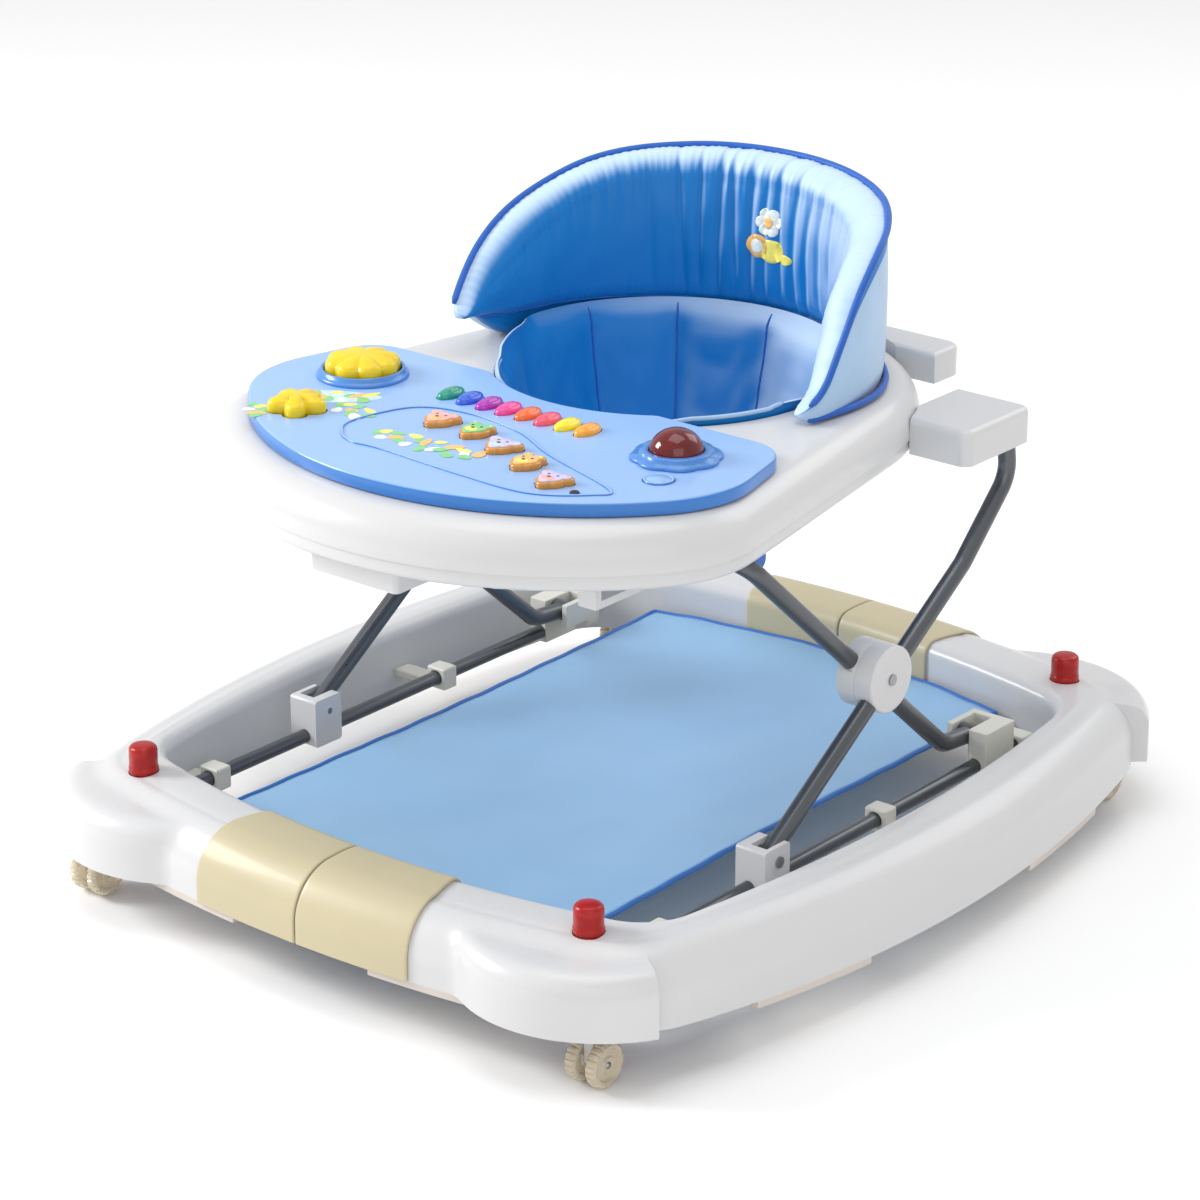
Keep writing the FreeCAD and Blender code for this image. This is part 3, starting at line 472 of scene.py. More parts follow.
def ring_row(psi, grow=0):
    """One section of the ring skin, from the inner bottom edge over the top to the outer one."""
    nx, ny = math.cos(math.radians(psi)), math.sin(math.radians(psi))
    ix, iy = INNER.point(psi)
    ox, oy = OUTER.point(psi)
    section = []
    low = rocker_low(iy)
    centre_z = RING_TOP - INNER_ROUND
    for i in range(5):
        section.append((ix - grow * nx, iy - grow * ny, low + (centre_z - low) * i / 5))
    for i in range(9):
        turn = math.pi / 2 * i / 8
        r = INNER_ROUND - (INNER_ROUND + grow) * math.cos(turn)
        section.append((ix + r * nx, iy + r * ny, centre_z + (INNER_ROUND + grow) * math.sin(turn)))
    ax, ay = section[-1][:2]
    bx, by = ox - RING_ROUND * nx, oy - RING_ROUND * ny
    for t in (0.25, 0.5, 0.75):
        crown = 0.5 * math.sin(math.pi * t)
        section.append((ax + (bx - ax) * t, ay + (by - ay) * t, RING_TOP + grow + crown))
    section += [(ox + r * nx, oy + r * ny, z) for r, z in outer_profile(psi, grow)]
    return section


def mirrored(piece, name):
    """Copy of a piece on the other side of the middle line."""
    twin = piece.copy()
    twin.data = piece.data.copy()
    twin.name = twin.data.name = name
    bpy.context.scene.collection.objects.link(twin)
    twin.data.transform(Matrix.Scale(-1, 4, Vector((1, 0, 0))))
    twin.data.flip_normals()
    return twin


def drill(piece, x, y, radius, z0, z1):
    """Cut an upright round hole."""
    cutter = revolve("cutter", [(radius, z0), (radius, z1)], (x, y, 0), sides=48)
    modify(piece, "BOOLEAN", object=cutter, operation="DIFFERENCE", solver="EXACT")
    bake(piece)
    bpy.data.objects.remove(cutter)


base = loft("base_right", [ring_row(psi) for psi in OUTER.stations(7)])
modify(base, "SOLIDIFY", thickness=0.003, offset=-1)
bake(base)
outward(base)
for end in (1, -1):
    drill(base, KNOB[0], end * KNOB[1], KNOB_HOLE_R, RING_TOP - 12, RING_TOP + 18)
base.data.polygons.foreach_set("use_smooth", [True] * len(base.data.polygons))
base.data.set_sharp_from_angle(angle=math.radians(50))
base_left = mirrored(base, "base_left")
place(base, "base", M["white_plastic"], ["base_shell_right"])
place(base_left, "base", M["white_plastic"], ["base_shell_left"])

# beige sleeves wrap the ring at both ends, in two halves with a groove between them
first = math.degrees(math.acos(SLEEVE_HALF / OUTER.end_r))
last = math.degrees(math.acos(1.0 / OUTER.end_r))
angles = [first + (last - first) * i / 30 for i in range(31)]
sleeve_rows = [ring_row(psi, SLEEVE_WALL) for psi in angles]
for end, end_name in ((1, "rear"), (-1, "front")):
    for side in (1, -1):
        rows = [[(side * x, end * y, z) for x, y, z in row] for row in sleeve_rows]
        sleeve = loft("sleeve_%s_%s" % (end_name, "right" if side > 0 else "left"), rows)
        modify(sleeve, "SOLIDIFY", thickness=0.0029, offset=-1)
        modify(sleeve, "BEVEL", width=0.0012, segments=3, limit_method="ANGLE",
               angle_limit=math.radians(50))
        bake(sleeve)
        place(sleeve, "base", M["beige_plastic"], [end_name + "_sleeves"])


# ------------------------------------------------------------------ casters
def tread_wheel(name, x0, x1, y):
    """Small clear wheel: notched tread, dished side and hub hole."""
    mid, half, notches = (x0 + x1) / 2, abs(x1 - x0) / 2, 22
    profile = [(0.1, -half + 2.5), (3.2, -half + 2.5), (3.4, -half + 1), (6.5, -half + 0.6),
               (8, -half + 2.4), (13, -half + 2.4), (14.5, -half + 0.4), (17.5, -half),
               (WHEEL_R - 0.6, -half + 1.6), (WHEEL_R, -half + 3)]
    profile += [(a, -b) for a, b in reversed(profile)]
    sides = notches * 6
    rows = []
    for rad, h in profile:
        row = []
        for i in range(sides):
            t = 2 * math.pi * i / sides
            notch = 0.94 if rad > 17 and i % 6 in (0, 1) else 1
            row.append((mid + h, y + rad * notch * math.cos(t), WHEEL_R + rad * notch * math.sin(t)))
        rows.append(row)
    wheel = loft(name, rows, wrap_points=True, cap=True)
    wheel.data.set_sharp_from_angle(angle=math.radians(35))
    return wheel


KNOB_PROFILE = [(12.9, 109), (13.1, 116.5), (12.2, 118), (11.3, 118.6), (12.5, 120.2), (12.6, 131.5),
                (12.1, 134.2), (10.4, 136), (7, 136.8), (0.1, 137)]
for sx, sx_name in ((1, "right"), (-1, "left")):
    for sy, sy_name in ((-1, "front"), (1, "rear")):
        corner = sy_name + "_" + sx_name
        wheels = "caster_wheels_" + corner
        cx, axle_y = sx * CASTER[0], sy * CASTER[1] - TRAIL
        axle = revolve("axle_" + corner, [(AXLE_R, -AXLE_HALF), (AXLE_R, AXLE_HALF)],
                       (cx, axle_y, WHEEL_R), sides=24, axis="X")
        place(axle, wheels, M["steel"])
        for k, side in enumerate((1, -1)):
            wheel = tread_wheel("wheel_%s_%d" % (corner, k + 1), cx + side * WHEEL_INSIDE,
                                cx + side * WHEEL_OUTSIDE, axle_y)
            place(wheel, wheels, M["amber_plastic"], [wheels])
        knob = revolve("knob_" + corner, KNOB_PROFILE, (sx * KNOB[0], sy * KNOB[1], 0))
        place(knob, "caster_lift_" + corner, M["red_plastic"])


# ----------------------------------------------------------------- foot mat
MAT_ACROSS, MAT_ALONG = 60, 100


def mat_point(u, v):
    """Point of the stretched mat for u and v from -1 to 1: bowed edges, sag, wrinkles and pucker."""
    x = u * (194 + 6 * v * v)
    y = v * (330 - 26 * u * u)
    edge = max(abs(u), abs(v))
    sag = -5.0 * (1 - u * u) * (1 - v * v)
    wrinkle = noise.noise(Vector((x / 60, y / 95, 2.0))) * 1.3
    pucker = 0.7 * math.sin((y if abs(u) > abs(v) else x) / 9.0) * smoothstep(0.86, 1.0, edge)
    return (x, y, 76.0 + sag + wrinkle + pucker * 0.5)


across = [-1 + 2 * i / MAT_ACROSS for i in range(MAT_ACROSS + 1)]
along = [-1 + 2 * j / MAT_ALONG for j in range(MAT_ALONG + 1)]
mat = loft("mat_cloth", [[mat_point(u, v) for u in across] for v in along])
modify(mat, "SOLIDIFY", thickness=0.0016, offset=0)
bake(mat)
edge = [mat_point(u, -1) for u in across[:-1]] + [mat_point(1, v) for v in along[:-1]]
edge += [mat_point(-u, 1) for u in across[:-1]] + [mat_point(-1, -v) for v in along[:-1]]
binding = tube("mat_binding", edge, 2.6, closed=True)
place(mat, "base", M["mat_fabric"], ["foot_mat"])
place(binding, "base", M["mat_binding"])


# -------------------------------------------------------------- toy buttons
def lobes(count, radius, depth, sharp):
    """Outline of a flower or star as a radius for each angle."""
    return lambda t: radius + depth * (abs(math.cos(count * t / 2)) ** sharp)


def button(name, centre, outline, low, top, round_r, crown, grooves=0, groove_depth=0.0, sides=96,
           turn=0.0):
    """Upright button with a rounded, slightly crowned top."""
    rows = []
    # each row: share of the outline, height or None for the crowned top, and inset
    shape = [(1.0, low, 0.0), (1.0, top - round_r, 0.0)]
    for i in range(1, 7):
        a = math.pi / 2 * i / 6
        shape.append((1.0, top - round_r + round_r * math.sin(a), round_r * (1 - math.cos(a))))
    for i in range(1, 7):
        shape.append((1 - i / 6.2, None, round_r))
    for scale, z, inset in shape:
        row = []
        for k in range(sides):
            t = 2 * math.pi * k / sides
            r0 = outline(t)
            r = (r0 - inset) * scale
            height = top + crown * (1 - (r / r0) ** 2) if z is None else z
            if grooves and (z is None or z > top - round_r * 0.6):
                height -= groove_depth * (r / r0) * abs(math.sin(grooves * t / 2)) ** 6
            row.append((centre[0] + r * math.cos(t + turn), centre[1] + r * math.sin(t + turn), height))
        rows.append(row)
    return loft(name, rows, wrap_points=True, cap=True)


def petal(t):
    """Oval outline of a key, long fore and aft."""
    return 1 / math.sqrt((math.cos(t) / 8.5) ** 2 + (math.sin(t) / 15.0) ** 2)


for i, colour in enumerate(KEY_COLOURS):
    node = "piano_key_%d" % (i + 1)
    x = KEY_PITCH * (i - (KEYS - 1) / 2)
    key = button("key_%d" % (i + 1), (x, KEY_Y), petal, BUTTON_BOTTOM, 442.2, 4.5, 1.6, sides=48)
    place(key, node, M["key_" + colour], [node])

flower = button("flower", FLOWER, lobes(8, 28.5, 4.6, 0.75), BUTTON_BOTTOM, 454, 6.5, 3.0, grooves=8,
                groove_depth=1.2, sides=160, turn=math.radians(11))
place(flower, "flower_button", M["yellow_plastic"], ["flower_button"])
star = button("star", STAR, lobes(5, 16.5, 9.5, 1.15), BUTTON_BOTTOM, 448, 6.5, 3.4, grooves=5,
              groove_depth=0.8, sides=150, turn=math.radians(18))
place(star, "star_button", M["yellow_plastic"], ["star_button"])
round_profile = [(12.9, BUTTON_BOTTOM), (12.9, 438.2), (12.2, 438.7), (11.2, 438.7), (10.6, 438.1),
                 (9.8, 438.1), (9.2, 438.8), (0.1, 439.2)]
round_piece = revolve("round_push", round_profile, (ROUND_BUTTON[0], ROUND_BUTTON[1], 0), sides=64)
place(round_piece, "round_button", M["panel_blue"], ["round_button"])


def head_outline(ear_r, ear_turn):
    """Round head with two ears and a chin, as a radius for each angle."""
    a = math.radians(ear_turn)
    discs = [(0, 0, HEAD_R), (0, -9, 7)]
    discs += [(s * HEAD_R * math.sin(a), HEAD_R * math.cos(a), ear_r) for s in (1, -1)]

    def radius(t):
        best = 0
        for dx, dy, r in discs:
            along = dx * math.cos(t) + dy * math.sin(t)
            under = along ** 2 - dx * dx - dy * dy + r * r
            if under > 0:
                best = max(best, along + math.sqrt(under))
        return best
    return radius


def spot(x, y, z, radius, mat, wide=1.0):
    """Small raised dot, stretched sideways by wide."""
    profile = [(radius, z), (radius * 0.96, z + 0.35), (radius * 0.7, z + 0.6), (0.05, z + 0.7)]
    piece = revolve("spot", profile, (0, 0, 0), sides=24)
    piece.data.transform(Matrix.Diagonal((wide, 1, 1, 1)))
    piece.data.transform(Matrix.Translation((x * MM, y * MM, 0)))
    piece.data.materials.append(mat)
    return piece


def joined(name, pieces):
    """One mesh from several, each keeping its own material."""
    work = bmesh.new()
    mats = []
    for piece in pieces:
        mat = piece.data.materials[0]
        if mat not in mats:
            mats.append(mat)
        start = len(work.faces)
        work.from_mesh(piece.data)
        work.faces.ensure_lookup_table()
        for face in work.faces[start:]:
            face.material_index = mats.index(mat)
        bpy.data.objects.remove(piece)
    mesh = bpy.data.meshes.new(name)
    work.to_mesh(mesh)
    work.free()
    whole = bpy.data.objects.new(name, mesh)
    bpy.context.scene.collection.objects.link(whole)
    for mat in mats:
        mesh.materials.append(mat)
    return whole


# place, radius and turn of the ears, print of the face and of the muzzle
ANIMALS = ((-35, -190, 6, 50, "rose", "peach"), (7, -193, 5, 40, "leaf", "sun"),
           (48, -208, 6.5, 60, "lilac", "sky"), (90, -226, 5, 30, "peach", "sun"),
           (133, -245, 6, 55, "lilac", "rose"))
for i, (x, y, ear_r, ear_turn, face_print, muzzle_print) in enumerate(ANIMALS):
    outline = head_outline(ear_r, ear_turn)
    node = "animal_button_%d" % (i + 1)
    head = button("animal_%d" % (i + 1), (x, y), outline, BUTTON_BOTTOM, 442.4, 2.6, 0.5, sides=120)
    place(head, node, M["orange_plastic"], [node])
    face = button("face", (x, y), lambda t, o=outline: o(t) - 2.6, 442.2, 443.4, 0.8, 0.4)
    face.data.materials.append(M["print_" + face_print])
    parts = [face, spot(x, y - 5, 443.3, 5.2, M["print_" + muzzle_print], 1.2)]
    parts += [spot(x + s * 4.6, y + 2.6, 443.3, 1.5, M["dark"]) for s in (1, -1)]
    parts += [spot(x, y - 3.2, 443.9, 1.5, M["print_brown"], 1.3)]
    ear = math.radians(ear_turn)
    parts += [spot(x + s * HEAD_R * math.sin(ear), y + HEAD_R * math.cos(ear), 443.0, ear_r - 3.2,
                   M["print_" + muzzle_print]) for s in (1, -1)]
    whole = joined("face_%d" % (i + 1), parts)
    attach(whole, node)

# dome light in its petalled ring, and the stepped ring round the flower
DOME_R, DOME_BASE, DOME_RISE = 22.5, 443, 19
quarter = [math.pi / 2 * i / 16 for i in range(1, 16)]
dome_profile = [(16.8, 432.3), (16.8, 441.4), (DOME_R, 441.5), (DOME_R, DOME_BASE)]
dome_profile += [(DOME_R * math.cos(a), DOME_BASE + DOME_RISE * math.sin(a)) for a in quarter]
dome_profile.append((0.1, DOME_BASE + DOME_RISE))
dome = revolve("dome", dome_profile, (DOME[0], DOME[1], 0), sides=80)
place(dome, "tray", M["dome_red"], ["dome_lens"])
RING_SIDES = 160
for name, centre, outer_r, bore, petals in (("ring_flower", FLOWER, 40, 33.8, 0),
                                            ("ring_dome", DOME, 36, 22.9, 8)):
    step = (outer_r - bore) * 0.5
    profile = [(bore, PANEL_TOP), (bore, 443.6), (bore + 0.8, 444.6), (bore + step - 0.8, 444.6),
               (bore + step, 443.8), (bore + step + 0.4, 440.8), (outer_r - 1.2, 440.4),
               (outer_r, 439.2), (outer_r + 0.1, PANEL_TOP)]
    rows = []
    for r, z in profile:
        row = []
        for k in range(RING_SIDES):
            t = 2 * math.pi * k / RING_SIDES
            out = max(0, (r - bore) / (outer_r - bore))
            swell = 2.6 * abs(math.cos(petals * t / 2)) * out if petals else 0
            row.append((centre[0] + (r + swell) * math.cos(t), centre[1] + (r + swell) * math.sin(t), z))
        rows.append(row)
    ring = loft(name, rows, wrap_points=True, wrap_rows=True)
    place(ring, "tray", M["bezel_blue"], ["toy_bezels"])

# raised line round the animal buttons
OVAL = ((-81, -260), (-95, -233), (-79, -175), (-34, -157), (31, -166), (88, -194), (178, -227),
        (176, -246), (133, -275), (61, -276), (-27, -270), (-59, -272))


def closed_curve(points, steps=8):
    """Smooth closed line through points (Catmull-Rom)."""
    found = []
    n = len(points)
    for i in range(n):
        p0, p1, p2, p3 = (points[(i + k) % n] for k in (-1, 0, 1, 2))
        for s in range(steps):
            t = s / steps
            found.append(tuple(0.5 * (2 * b + (c - a) * t + (2 * a - 5 * b + 4 * c - d) * t * t
                                      + (3 * b - a - 3 * c + d) * t ** 3)
                               for a, b, c, d in zip(p0, p1, p2, p3)))
    return found


oval = tube("oval_rib", [(x, y, PANEL_TOP + 0.15) for x, y in closed_curve(OVAL)], 1.3, closed=True,
            sides=12)
place(oval, "tray", M["panel_blue"])
sound_dot = revolve("sound_dot", [(4.2, PANEL_TOP), (4.2, 438.4), (3.4, 439.2), (0.1, 439.6)],
                    (163, -252, 0), sides=32)
place(sound_dot, "tray", M["dark"])


LEAF_SIDES = 20


def leaf(x, y, length, width, turn, mat, z):
    """Flat printed leaf or ground patch with a thin body."""
    c, s = math.cos(turn), math.sin(turn)
    rim = []
    for k in range(LEAF_SIDES):
        t = 2 * math.pi * k / LEAF_SIDES
        u = length / 2 * math.cos(t)
        w = width / 2 * math.sin(t) * (1 - 0.25 * math.cos(t))
        rim.append((x + u * c - w * s, y + u * s + w * c))
    rows = [[(a, b, z - 0.1) for a, b in rim], [(a, b, z + 0.14) for a, b in rim]]
    piece = loft("leaf", rows, wrap_points=True, cap=True)
    piece.data.polygons.foreach_set("use_smooth", [False] * len(piece.data.polygons))
    piece.data.materials.append(mat)
    return piece


def print_patch(name, centre, size, turn, count, ground=None):
    """Generic leaf and berry decoration strewn over an oval patch."""
    parts = []
    if ground:
        parts.append(leaf(centre[0], centre[1], size[0] * 1.1, size[1] * 1.15, turn, M[ground],
                          PANEL_TOP + 0.03))
    c, s = math.cos(turn), math.sin(turn)
    names = ("print_leaf", "print_sun", "print_cream", "print_leaf", "print_peach")
    for i in range(count):
        u = size[0] * (-0.46 + 0.92 * (i + 0.5) / count)
        w = size[1] * 0.38 * math.sin(i * 2.4) * (1 - (2 * u / size[0]) ** 2 * 0.5)
        z = PANEL_TOP + 0.09 + 0.012 * i        # a little higher each, so that none shimmer
        parts.append(leaf(centre[0] + u * c - w * s, centre[1] + u * s + w * c, random.uniform(11, 19),
                          random.uniform(7, 11), random.uniform(0, math.pi), M[names[i % 5]], z))
    whole = joined(name, parts)
    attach(whole, "tray")


print_patch("print_strip", (-8, -238), (118, 30), math.radians(2), 20)
print_patch("print_corner", (-150, -196), (76, 28), math.radians(35), 12, ground="print_sky")
print_patch("print_rear", (-112, -212), (46, 30), math.radians(-15), 9)
print_patch("print_front", (-176, -262), (36, 18), math.radians(-40), 6)


# --------------------------------------------------------------------- seat
# heights by the angle round the seat: 0 at the rear, positive to the walker's +X side
RIM_HEIGHT = ((-120, 468), (-112, 484), (-100, 511), (-88, 533), (-76, 549), (-58, 568), (-32, 577.5),
              (0, 578.5), (33, 574), (50, 569), (60, 562), (72, 551), (83, 525), (91, 487), (97, 455),
              (104, 438))
SEAM_HEIGHT = ((-120, 463), (-112, 458), (-97, 450), (-77, 447), (-60, 445), (-35, 443), (0, 442),
               (20, 443), (60, 440), (80, 436), (104, 430))
FOOT_HEIGHT = ((-120, 460), (-110, 455), (-102, 440), (-95, 428), (-88, SEAT_FOOT), (0, SEAT_FOOT),
               (104, SEAT_FOOT))
LEFT_END, RIGHT_END = -120, 104


def seat_point(theta, radius, z):
    """Point at an angle, radius and height round the seat's upright axis."""
    a = math.radians(theta)
    return (radius * math.sin(a), SEAT_Y + radius * math.cos(a), z)


# gathers: angle, width, depth, and where each starts and stops on the way down
FOLDS = [(-44, 1.5, 1.6, 0.10, 0.95), (-33.5, 1.3, 2.4, 0.0, 1.0), (-27.5, 1.1, 2.6, 0.05, 0.9),
         (-21, 1.4, 3.2, 0.0, 1.0), (-15.5, 1.2, 3.0, 0.0, 0.8), (-9.5, 1.3, 3.4, 0.05, 1.0),
         (-4, 1.1, 2.6, 0.1, 1.0), (2, 1.3, 3.0, 0.0, 0.9), (8.5, 1.4, 2.6, 0.0, 1.0),
         (15, 1.3, 2.4, 0.1, 1.0), (22, 1.5, 2.0, 0.0, 0.9), (30, 1.4, 1.6, 0.0, 0.7)]
FOLDS += [(-52 - 6.5 * i, 1.2, 0.9, 0.0, 0.35) for i in range(9)]
FOLDS += [(39 + 7.5 * i, 1.6, 0.9, 0.0, 0.35) for i in range(6)]


def fold_depth(theta, v):
    """Depth of the gathers at a place on the padded band; v runs down the inner face."""
    total = 0
    for at, width, depth, start, stop in FOLDS:
        lean = at + 2.2 * math.sin(at * 0.7) * (v - 0.5)
        span = smoothstep(start - 0.1, start + 0.12, v) * (1 - smoothstep(stop - 0.15, stop + 0.1, v))
        total += depth * span * math.exp(-((theta - lean) / width) ** 2)
    gather = 0.5 * math.sin(theta * 2.9 + 1.5 * math.sin(theta * 0.31))
    return total + gather * max(0, 1 - v * 3.5) + gather * 0.6 * max(0, v * 4 - 3)


N_TOP, N_WALL = 10, 22          # steps over the rim and down the inner face


def band_section(theta):
    """Closed section of the padded back: rim, padded inner face, seam, foot and outer panel."""
    rim, seam, foot = lookup(RIM_HEIGHT, theta), lookup(SEAM_HEIGHT, theta), lookup(FOOT_HEIGHT, theta)
    tall = max(8.0, rim - seam)
    pad = min(1.0, tall / 90)
    inner_r = PAD_OUTER_R - PAD_DEPTH * min(1, 0.45 + 0.55 * pad)
    section = []
    for i in range(N_TOP + 1):
        t = i / N_TOP
        a = math.pi / 2 * t
        r = PAD_OUTER_R - (PAD_OUTER_R - inner_r) * math.sin(a) ** 1.15
        z = rim - 2 - min(22, tall * 0.3) * (1 - math.cos(a)) + 4.0 * math.sin(math.pi * t) * pad
        section.append((r, z, t * 0.12))
    z_top = section[-1][1]
    for i in range(1, N_WALL + 1):
        t = i / N_WALL
        bulge = 5.5 * math.sin(math.pi * min(1, t * 1.02)) ** 0.8 * pad
        r = inner_r - bulge + 3.5 * smoothstep(0.88, 1.0, t)
        section.append((r, z_top + (seam - z_top) * t, 0.12 + 0.88 * t))
    wall_end = len(section)
    section.append((inner_r + 7, seam - min(3.0, (seam - foot) * 0.4), None))
    section.append((inner_r + 6, foot + (seam - foot) * 0.4, None))
    section.append((inner_r + 8, foot, None))
    section.append((PAD_OUTER_R - 10, foot, None))
    section.append((PAD_OUTER_R - 1.5, foot + 0.3, None))
    for i in range(1, 9):
        t = i / 9
        section.append((PAD_OUTER_R + 1.6 * math.sin(math.pi * t), foot + (rim - 2 - foot) * t, None))
    return section, wall_end


SEAT_STEPS = 336


def seat_rows():
    """Sections of the padded back from end to end, drawn in to blunt ends."""
    rows = []
    for i in range(SEAT_STEPS + 1):
        theta = LEFT_END + (RIGHT_END - LEFT_END) * i / SEAT_STEPS
        section = band_section(theta)[0]
        middle_r = sum(s[0] for s in section) / len(section)
        middle_z = sum(s[1] for s in section) / len(section)
        near = min(theta - LEFT_END, RIGHT_END - theta)
        size = math.sqrt(max(0.0, 1 - max(0, 1 - near / 5.0) ** 2)) if near < 5 else 1
        size = 0.12 + 0.88 * size
        row = []
        for r, z, v in section:
            if v is not None:
                depth = fold_depth(theta, v)
                facing_up = max(0.0, 1 - v * 8)
                r += depth * (1 - facing_up)
                z -= depth * facing_up * 0.8
                r += noise.noise(Vector((theta / 9, z / 28, 0.0))) * 1.0
            row.append(seat_point(theta, middle_r + (r - middle_r) * size,
                                  middle_z + (z - middle_z) * size))
        rows.append(row)
    return rows


rows = seat_rows()
seat = loft("seat_pad", rows, wrap_points=True, cap=True)
inner_end = band_section(0)[1]
# inner faces take seat_fabric with its painted light and painted shade
seat.data.materials.append(M["seat_fabric"])
seat.data.materials.append(M["seat_side"])
per_row = len(rows[0])
for polygon in seat.data.polygons:
    column = min(v % per_row for v in polygon.vertices)
    if len(polygon.vertices) == 4 and column > inner_end + 2:
        polygon.material_index = 1
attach(seat, "tray")
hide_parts("seat_back")

arc = [LEFT_END + 3 + (RIGHT_END - LEFT_END - 5) * i / 150 for i in range(151)]
rim_pipe = [seat_point(t, PAD_OUTER_R + 0.5, lookup(RIM_HEIGHT, t) - 0.6) for t in arc]
place(tube("rim_piping", rim_pipe, 3.1), "tray", M["seat_piping"])
foot_arc = [t for t in arc if t > -94]
foot_pipe = [seat_point(t, PAD_OUTER_R + 1.5 + 3 * math.sin(t * 0.11), SEAT_FOOT + 2.1) for t in foot_arc]
place(tube("foot_piping", foot_pipe, 3.0), "tray", M["seat_piping"])
seam_arc = [t for t in arc if LEFT_END + 8 < t < RIGHT_END - 6]
seam_pipe = []
for t in seam_arc:
    section, wall_end = band_section(t)
    r, z, _ = section[wall_end - 1]
    seam_pipe.append(seat_point(t, r + 1.0, z - 0.5))
place(tube("seam_piping", seam_pipe, 1.3, sides=8), "tray", M["seat_piping"])


SLING_SEAMS = (-66, -34.5, 0, 34.5, 66)
ALL_SEAMS = SLING_SEAMS + (100, -100, 140, -140, 180)


def sling_rim(theta):
    """Height of the hanging seat's rim, lower towards the front."""
    return 443 - 17 * smoothstep(98, 150, abs(theta))


def sling_point(theta, v, lift=0.0):
    """v from 0 at the rim, down the wall, to 1 at the middle of the crotch strap."""
    rim = min(sling_rim(theta), lookup(SEAM_HEIGHT, theta) + 1 if LEFT_END < theta < RIGHT_END else 430)
    wall = min(1, v / WALL_SHARE)
    z = rim + (CLOTH_FLOOR - rim) * wall ** 1.05
    under_band = 1 - smoothstep(88, 100, abs(theta))
    flare = 10 * under_band * max(0, 1 - (rim - z) / 14) ** 1.4
    r = CLOTH_R + flare - CLOTH_NARROW * wall ** 1.6 + lift
    if v > WALL_SHARE:
        t = (v - WALL_SHARE) / (1 - WALL_SHARE)
        r = (CLOTH_R - CLOTH_NARROW + lift) * (1 - t) + 0.4 * t
        z = CLOTH_FLOOR - 7 * math.sin(math.pi / 2 * t) + lift * 0.2
    gap = min(abs((theta - s + 180) % 360 - 180) for s in ALL_SEAMS)
    swell = 5.5 * (1 - math.exp(-(gap / 6.5) ** 2)) * smoothstep(0.02, 0.15, v)
    swell *= 1 - smoothstep(0.55, 0.7, v)
    a = math.radians(theta)
    below_rim = smoothstep(0, 0.2, v)
    crumple = noise.noise(Vector((math.sin(a) * 5, math.cos(a) * 5, z / 40))) * 2.2
    loose = smoothstep(60, 120, abs(theta)) * 1.6 * math.sin(theta * 0.55 + z / 14) * below_rim
    return seat_point(theta, max(0.3, r - swell - abs(crumple) * below_rim - abs(loose)), z)


rows = [[sling_point(-180 + 2 * i, j / 40) for i in range(180)] for j in range(41)]
sling = loft("seat_cloth", rows, wrap_points=True)
modify(sling, "SOLIDIFY", thickness=0.0018, offset=0)
bake(sling)
for side in (1, -1):
    drill(sling, side * LEG_HOLE[0], LEG_HOLE[1], LEG_HOLE_R, CLOTH_FLOOR - 25, CLOTH_FLOOR + 40)
sling.data.polygons.foreach_set("use_smooth", [True] * len(sling.data.polygons))
sling.data.set_sharp_from_angle(angle=math.radians(60))
# the hanging seat carries seat_fabric's painted lit and shaded two-tone
place(sling, "tray", M["seat_fabric"], ["seat_sling"])
for k, at in enumerate(SLING_SEAMS):
    line = [sling_point(at, 0.02 + 0.58 * i / 24, -1.3) for i in range(25)]
    place(tube("sling_seam_%d" % (k + 1), line, 1.0, sides=8), "tray",
                             M["seat_piping"])
rim_line = [sling_point(99 + 2 * i, 0.0) for i in range(82)]
place(tube("sling_rim", rim_line, 1.9), "tray", M["seat_side"])


# generic printed badge on the padded back
def band_surface(at, up):
    """Radius of the padded inner face at an angle and a height."""
    found, end = band_section(at)
    best = min(found[N_TOP + 1:end], key=lambda s: abs(s[1] - up))
    return best[0] + fold_depth(at, best[2]) + noise.noise(Vector((at / 9, up / 28, 0.0)))


def badge_spot(theta, z, radius, mat, squash=1.0, lift=0.5):
    """Small printed blob that follows the curved inner face."""
    rows = []
    for scale, stand in ((1.0, -0.6), (1.0, lift), (0.75, lift), (0.5, lift), (0.25, lift), (0.03, lift)):
        row = []
        for k in range(20):
            t = 2 * math.pi * k / 20
            at = theta + math.degrees(scale * radius * math.cos(t) / PAD_INNER_R)
            up = z + scale * radius * squash * math.sin(t)
            row.append(seat_point(at, band_surface(at, up) - stand, up))
        rows.append(row)
    piece = loft("blob", rows, wrap_points=True, cap=True)
    piece.data.materials.append(mat)
    return piece


badge = [badge_spot(-1, 497, 15, M["print_sun"], 0.72), badge_spot(5, 492, 8, M["print_sun"], 0.6, 0.7),
         badge_spot(-6.5, 500, 11, M["print_peach"], 1.0, 0.8),
         badge_spot(-6.5, 500, 6.5, M["print_cream"], 1.0, 1.1)]
DAISY = (-2, 523)
for i in range(6):
    turn = math.pi / 3 * i
    badge.append(badge_spot(DAISY[0] + math.degrees(8 * math.cos(turn) / PAD_INNER_R),
                            DAISY[1] + 8 * math.sin(turn), 5.4, M["print_cream"], 1.0, 0.6 + 0.05 * i))
badge.append(badge_spot(DAISY[0], DAISY[1], 5, M["print_peach"], 1.0, 1.2))
whole = joined("printed_badge", badge)
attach(whole, "tray")

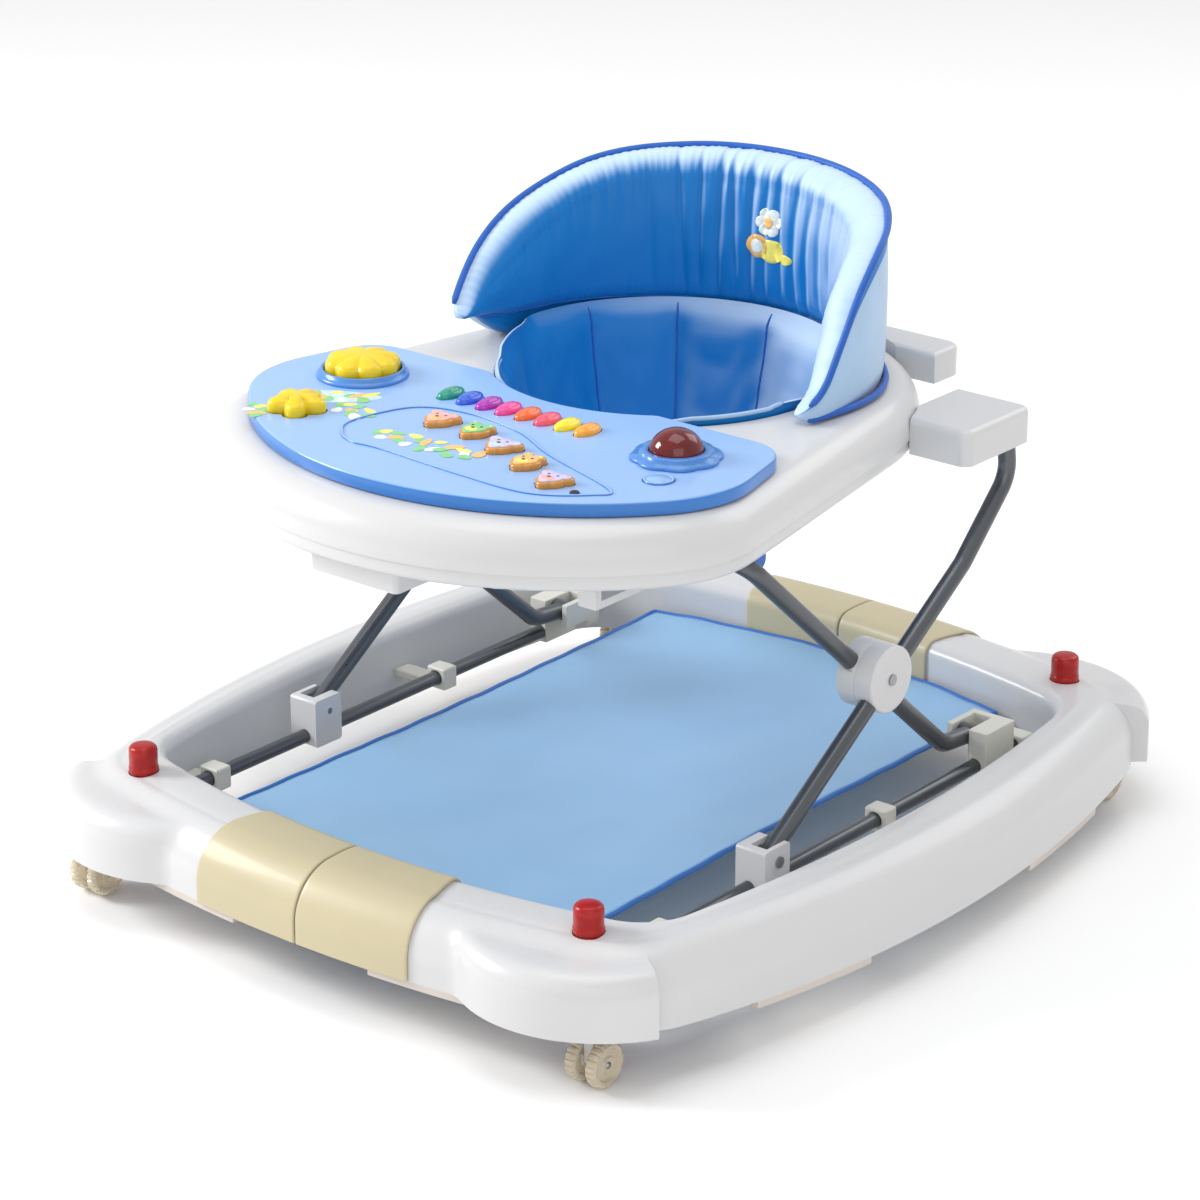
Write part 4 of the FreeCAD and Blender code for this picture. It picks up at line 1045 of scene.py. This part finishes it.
# ------------------------------------------------- small touches on CAD nodes
SOFT = ("front_slide_blocks", "rail_clips", "rear_pivot_brackets")
for node in ("hub_housings_inner", "hub_housings_outer", *SOFT, "tray_top_shell", "tray_bottom_shell",
             "rear_lugs", "rear_handle", "toy_panel", "height_lever", "lever_bracket", "frame_guides",
             "battery_box", "battery_cover"):
    piece = frame["nodes"][node]
    soft_edge = 0.0022 if node in SOFT else 0.0009
    modify(piece, "WELD", merge_threshold=0.00001)
    modify(piece, "BEVEL", width=soft_edge, segments=3, limit_method="ANGLE", angle_limit=math.radians(42),
           harden_normals=False)

# ------------------------------------------------------ floor, light, camera
FLOOR_HALF = 9000
corners = [(x * FLOOR_HALF, y * FLOOR_HALF, -0.5) for x, y in ((-1, -1), (1, -1), (1, 1), (-1, 1))]
floor = mesh_piece("floor", corners, [(0, 1, 2, 3)])
floor.data.materials.append(material("floor_paper", (0.99, 0.99, 0.99), rough=0.8, vary=0.004,
                                     vary_size=1.5, bump=0.02))


AIM = Vector((0, 0, 0.25))      # the lamps look here, metres


def area_light(name, energy, size, location):
    """White area lamp in watts and metres, turned to the walker."""
    lamp = bpy.data.lights.new(name, "AREA")
    lamp.energy, lamp.size = energy, size
    holder = bpy.data.objects.new(name, lamp)
    bpy.context.scene.collection.objects.link(holder)
    holder.location = location
    holder.rotation_mode = "QUATERNION"
    holder.rotation_quaternion = (AIM - Vector(location)).to_track_quat("-Z", "Y")


area_light("key", 84, 1.2, (-2.6, -1.6, 1.8))
area_light("fill", 17, 2.4, (2.4, -2.2, 1.6))
area_light("back", 20, 1.8, (0.6, 2.6, 2.4))
area_light("overhead", 22, 2.0, (0, 0, 3.2))
world = bpy.data.worlds.new("studio")
bpy.context.scene.world = world
world.use_nodes = True
sky = world.node_tree.nodes["Background"]
sky.inputs["Color"].default_value = (1, 1, 1, 1)
sky.inputs["Strength"].default_value = 0.7
bpy.context.scene.view_settings.view_transform = "Standard"

AZIMUTH, ELEVATION, DISTANCE = math.radians(39.48), math.radians(21.36), 3.671
TARGET = Vector((0, -0.0224, 0.2367))
level = math.cos(ELEVATION)
back = Vector((math.sin(AZIMUTH) * level, -math.cos(AZIMUTH) * level, math.sin(ELEVATION)))
camera = bpy.data.objects.new("camera", bpy.data.cameras.new("camera"))
bpy.context.scene.collection.objects.link(camera)
camera.data.lens, camera.data.sensor_width = 126, 36        # millimetres
camera.location = TARGET + back * DISTANCE
camera.rotation_mode = "QUATERNION"
camera.rotation_quaternion = (-back).to_track_quat("-Z", "Y")
bpy.context.scene.camera = camera
